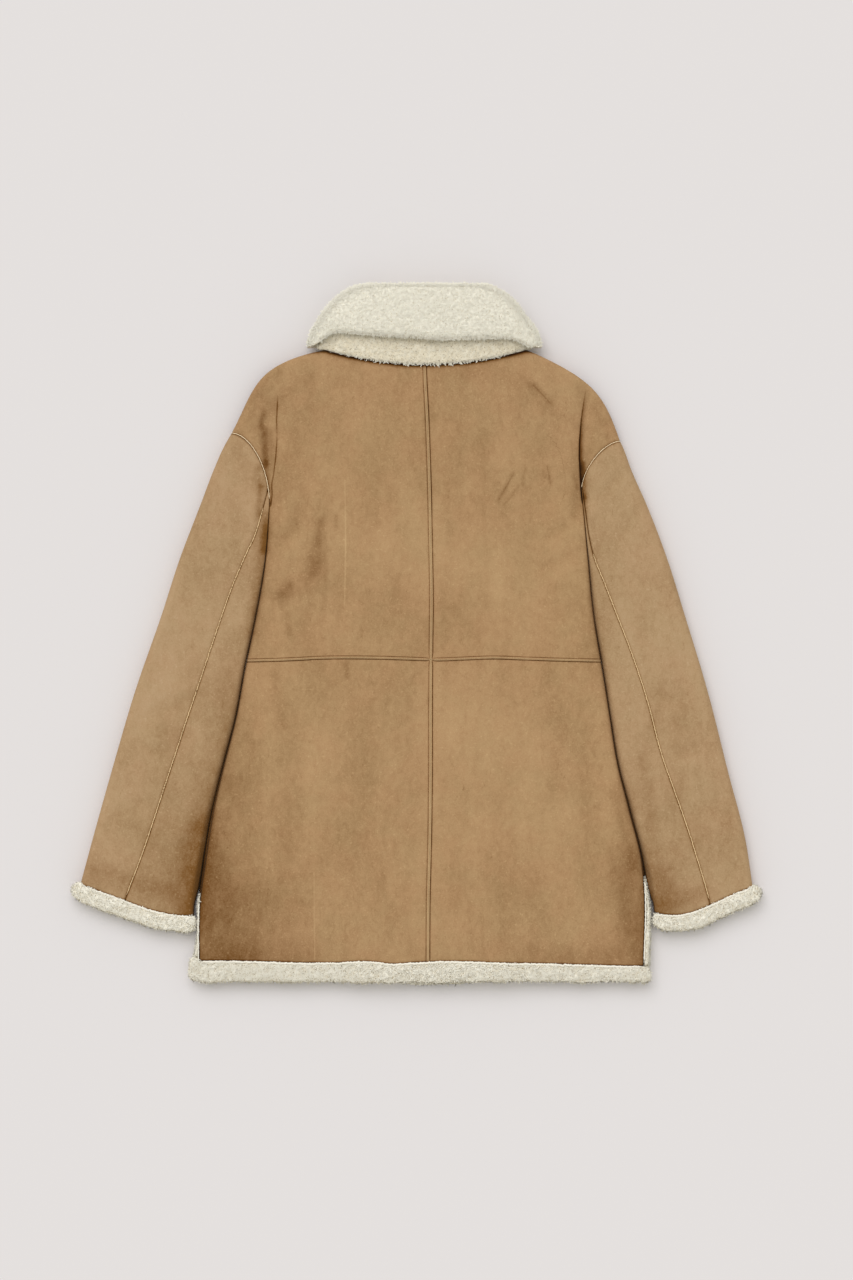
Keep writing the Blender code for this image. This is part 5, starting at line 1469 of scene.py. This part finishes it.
def addBead(name, key, path, seed):
    # a thin uneven tube along a path, tapered at both ends
    radius, material, pale, speckle = beads[key]
    runs = lengthOf(path)
    steps = np.linspace(0.0, 1.0, int(runs / beads["spacing"]) + 2)
    line = along(path, steps)
    tangent = unit(np.gradient(line, axis=0))
    side = unit(np.cross(tangent, np.array([0.0, 0.0, 1.0])))
    upward = np.cross(side, tangent)
    rng = np.random.default_rng(seed)
    (least, more), (taper, tip) = beads["sizes"], beads["taper"]
    size = radius * (least + more * rng.uniform(size=len(steps)))
    size = size * np.sqrt(np.clip(np.minimum(steps, 1 - steps) * taper, tip, 1))
    shift = beads["uneven"] * radius * rng.normal(size=(2, len(steps)))
    turn = np.linspace(0.0, 2 * np.pi, beads["sides"], endpoint=False)
    rings = line[:, None] + side[:, None] * (size[:, None] * np.cos(turn) + shift[0][:, None])[..., None]
    rings = rings + upward[:, None] * (size[:, None] * np.sin(turn) + shift[1][:, None])[..., None]
    rows = np.arange(rings.shape[0] * rings.shape[1]).reshape(rings.shape[:2])
    stitch = np.cos(2 * np.pi * steps * runs / seams["stitchPitch"])
    curl = pale + speckle * (stitch + rng.normal(size=len(steps)) * beads["scatter"])
    curl = np.clip(np.repeat(curl, rows.shape[1]), 0.0, 1.0)
    vertices = np.concatenate([rings.reshape(-1, 3), line[[0, -1]]])
    faces, values = [gridFaces(rows, False, True), capFaces(rows)], {"curl": np.append(curl, curl[[0, -1]])}
    piece = addMesh(name, vertices, faces, [materials[material]], values)


def addSewing():
    top = coat["mid"] + coat["wall"]
    for side, seed in (("left", 600), ("right", 640)):
        sign = sideSizes[side]["sign"]
        arm = armholeLine(side, beads["armRows"])[beads["armFrom"]:]
        high = np.minimum(backTop(side, arm - np.array([sign * beads["armBeside"], 0.0])), backTop(side, arm))
        addBead("edge_armhole_" + side, "armhole", liftPlan(arm, high + beads["armProud"]), seed)
        down = np.linspace(0.0, 1.0, beads["seamRows"])
        line = sleevePlan(side, smoothAt(down, sleeveSeams, side), down)
        high = top - pressedDepth(line) + creaseHeight(line) + waves(line, coat["soft"], 31)
        path = liftPlan(line, high - sleeves["seamDip"] + beads["seamProud"])[beads["seamFrom"][side]:-2]
        addBead("seam_sleeve_" + side, side + "Sleeve", path, seed + 1)
        across = np.linspace(beads["cuffFrom"], beads["cuffTo"], beads["cuffRows"])
        cuff = sleevePlan(side, across, np.ones(len(across))) + beads["cuffOut"] * cuffChord(side)[1]
        path = liftPlan(cuff, np.full(len(across), top - beads["cuffDrop"]))
        addBead("edge_cuff_" + side, "cuff", path, seed + 2)
        y = np.linspace(coat["hemLine"] + beads["ventFrom"], beads["ventTo"][side], beads["ventRows"])
        edge = points(sign * (bodyEdge(side, y) + beads["ventOut"]), y)
        path = liftPlan(edge, np.full(len(y), bands["ventHigh"] - beads["ventDrop"]))
        addBead("edge_vent_" + side, "vent", path, seed + 3)
    leftEnd, rightEnd = (bodyEdge(side, beads["hemAt"]) - beads["hemEnds"] for side in ("left", "right"))
    x = np.linspace(-leftEnd, rightEnd, beads["hemRows"])
    edge = points(x, coat["hemLine"] - beads["hemOut"])
    high = midHeight(edge) + coat["wall"] - beads["hemDrop"]
    addBead("edge_hem", "hem", liftPlan(edge + points(0.0, hemShift(x)), high), 680)


addSewing()
print("sewing made")

stage = {
    "floorSize": 6.0, "floorColour": (0.800, 0.768, 0.762), "sunStrength": 1.26, "sunAngle": 0.90,
    "sunColour": (1.0, 0.986, 1.040), "sunFrom": (-0.20, 0.60, 0.95), "skyStrength": 0.640,
    "skyColour": (1.0, 1.005, 0.958), "frameHeight": 1.6, "camera": (0.0125, -0.0064, 6.0), "sensor": 36.0,
    "farthest": 50.0,
}


def addStage():
    half = stage["floorSize"] / 2
    mesh = bpy.data.meshes.new("floor")
    corners = [(-half, -half, 0), (half, -half, 0), (half, half, 0), (-half, half, 0)]
    mesh.from_pydata(corners, [], [(0, 1, 2, 3)])
    paper = bpy.data.materials.new("floorPaper")
    paper.use_nodes = True
    feed(paper.node_tree, paper.node_tree.nodes["Principled BSDF"],
         {"Base Color": stage["floorColour"], "Roughness": 1.0, "Specular IOR Level": 0.0})
    mesh.materials.append(paper)
    addObject("floor", mesh)
    lamp = bpy.data.lights.new("softSun", "SUN")
    lamp.energy, lamp.angle, lamp.color = stage["sunStrength"], stage["sunAngle"], stage["sunColour"]
    addObject("softSun", lamp).rotation_euler = Vector(stage["sunFrom"]).to_track_quat("Z", "Y").to_euler()
    world = bpy.data.worlds.new("softSky")
    world.use_nodes = True
    feed(world.node_tree, world.node_tree.nodes["Background"],
         {"Color": stage["skyColour"], "Strength": stage["skyStrength"]})
    bpy.context.scene.world = world
    lens = bpy.data.cameras.new("lens")
    lens.sensor_width = stage["sensor"]
    lens.lens = stage["sensor"] * stage["camera"][2] / stage["frameHeight"]
    lens.clip_end = stage["farthest"]
    camera = addObject("camera", lens)
    camera.location = stage["camera"]
    bpy.context.scene.camera = camera
    bpy.context.scene.view_settings.view_transform = "Standard"


addStage()
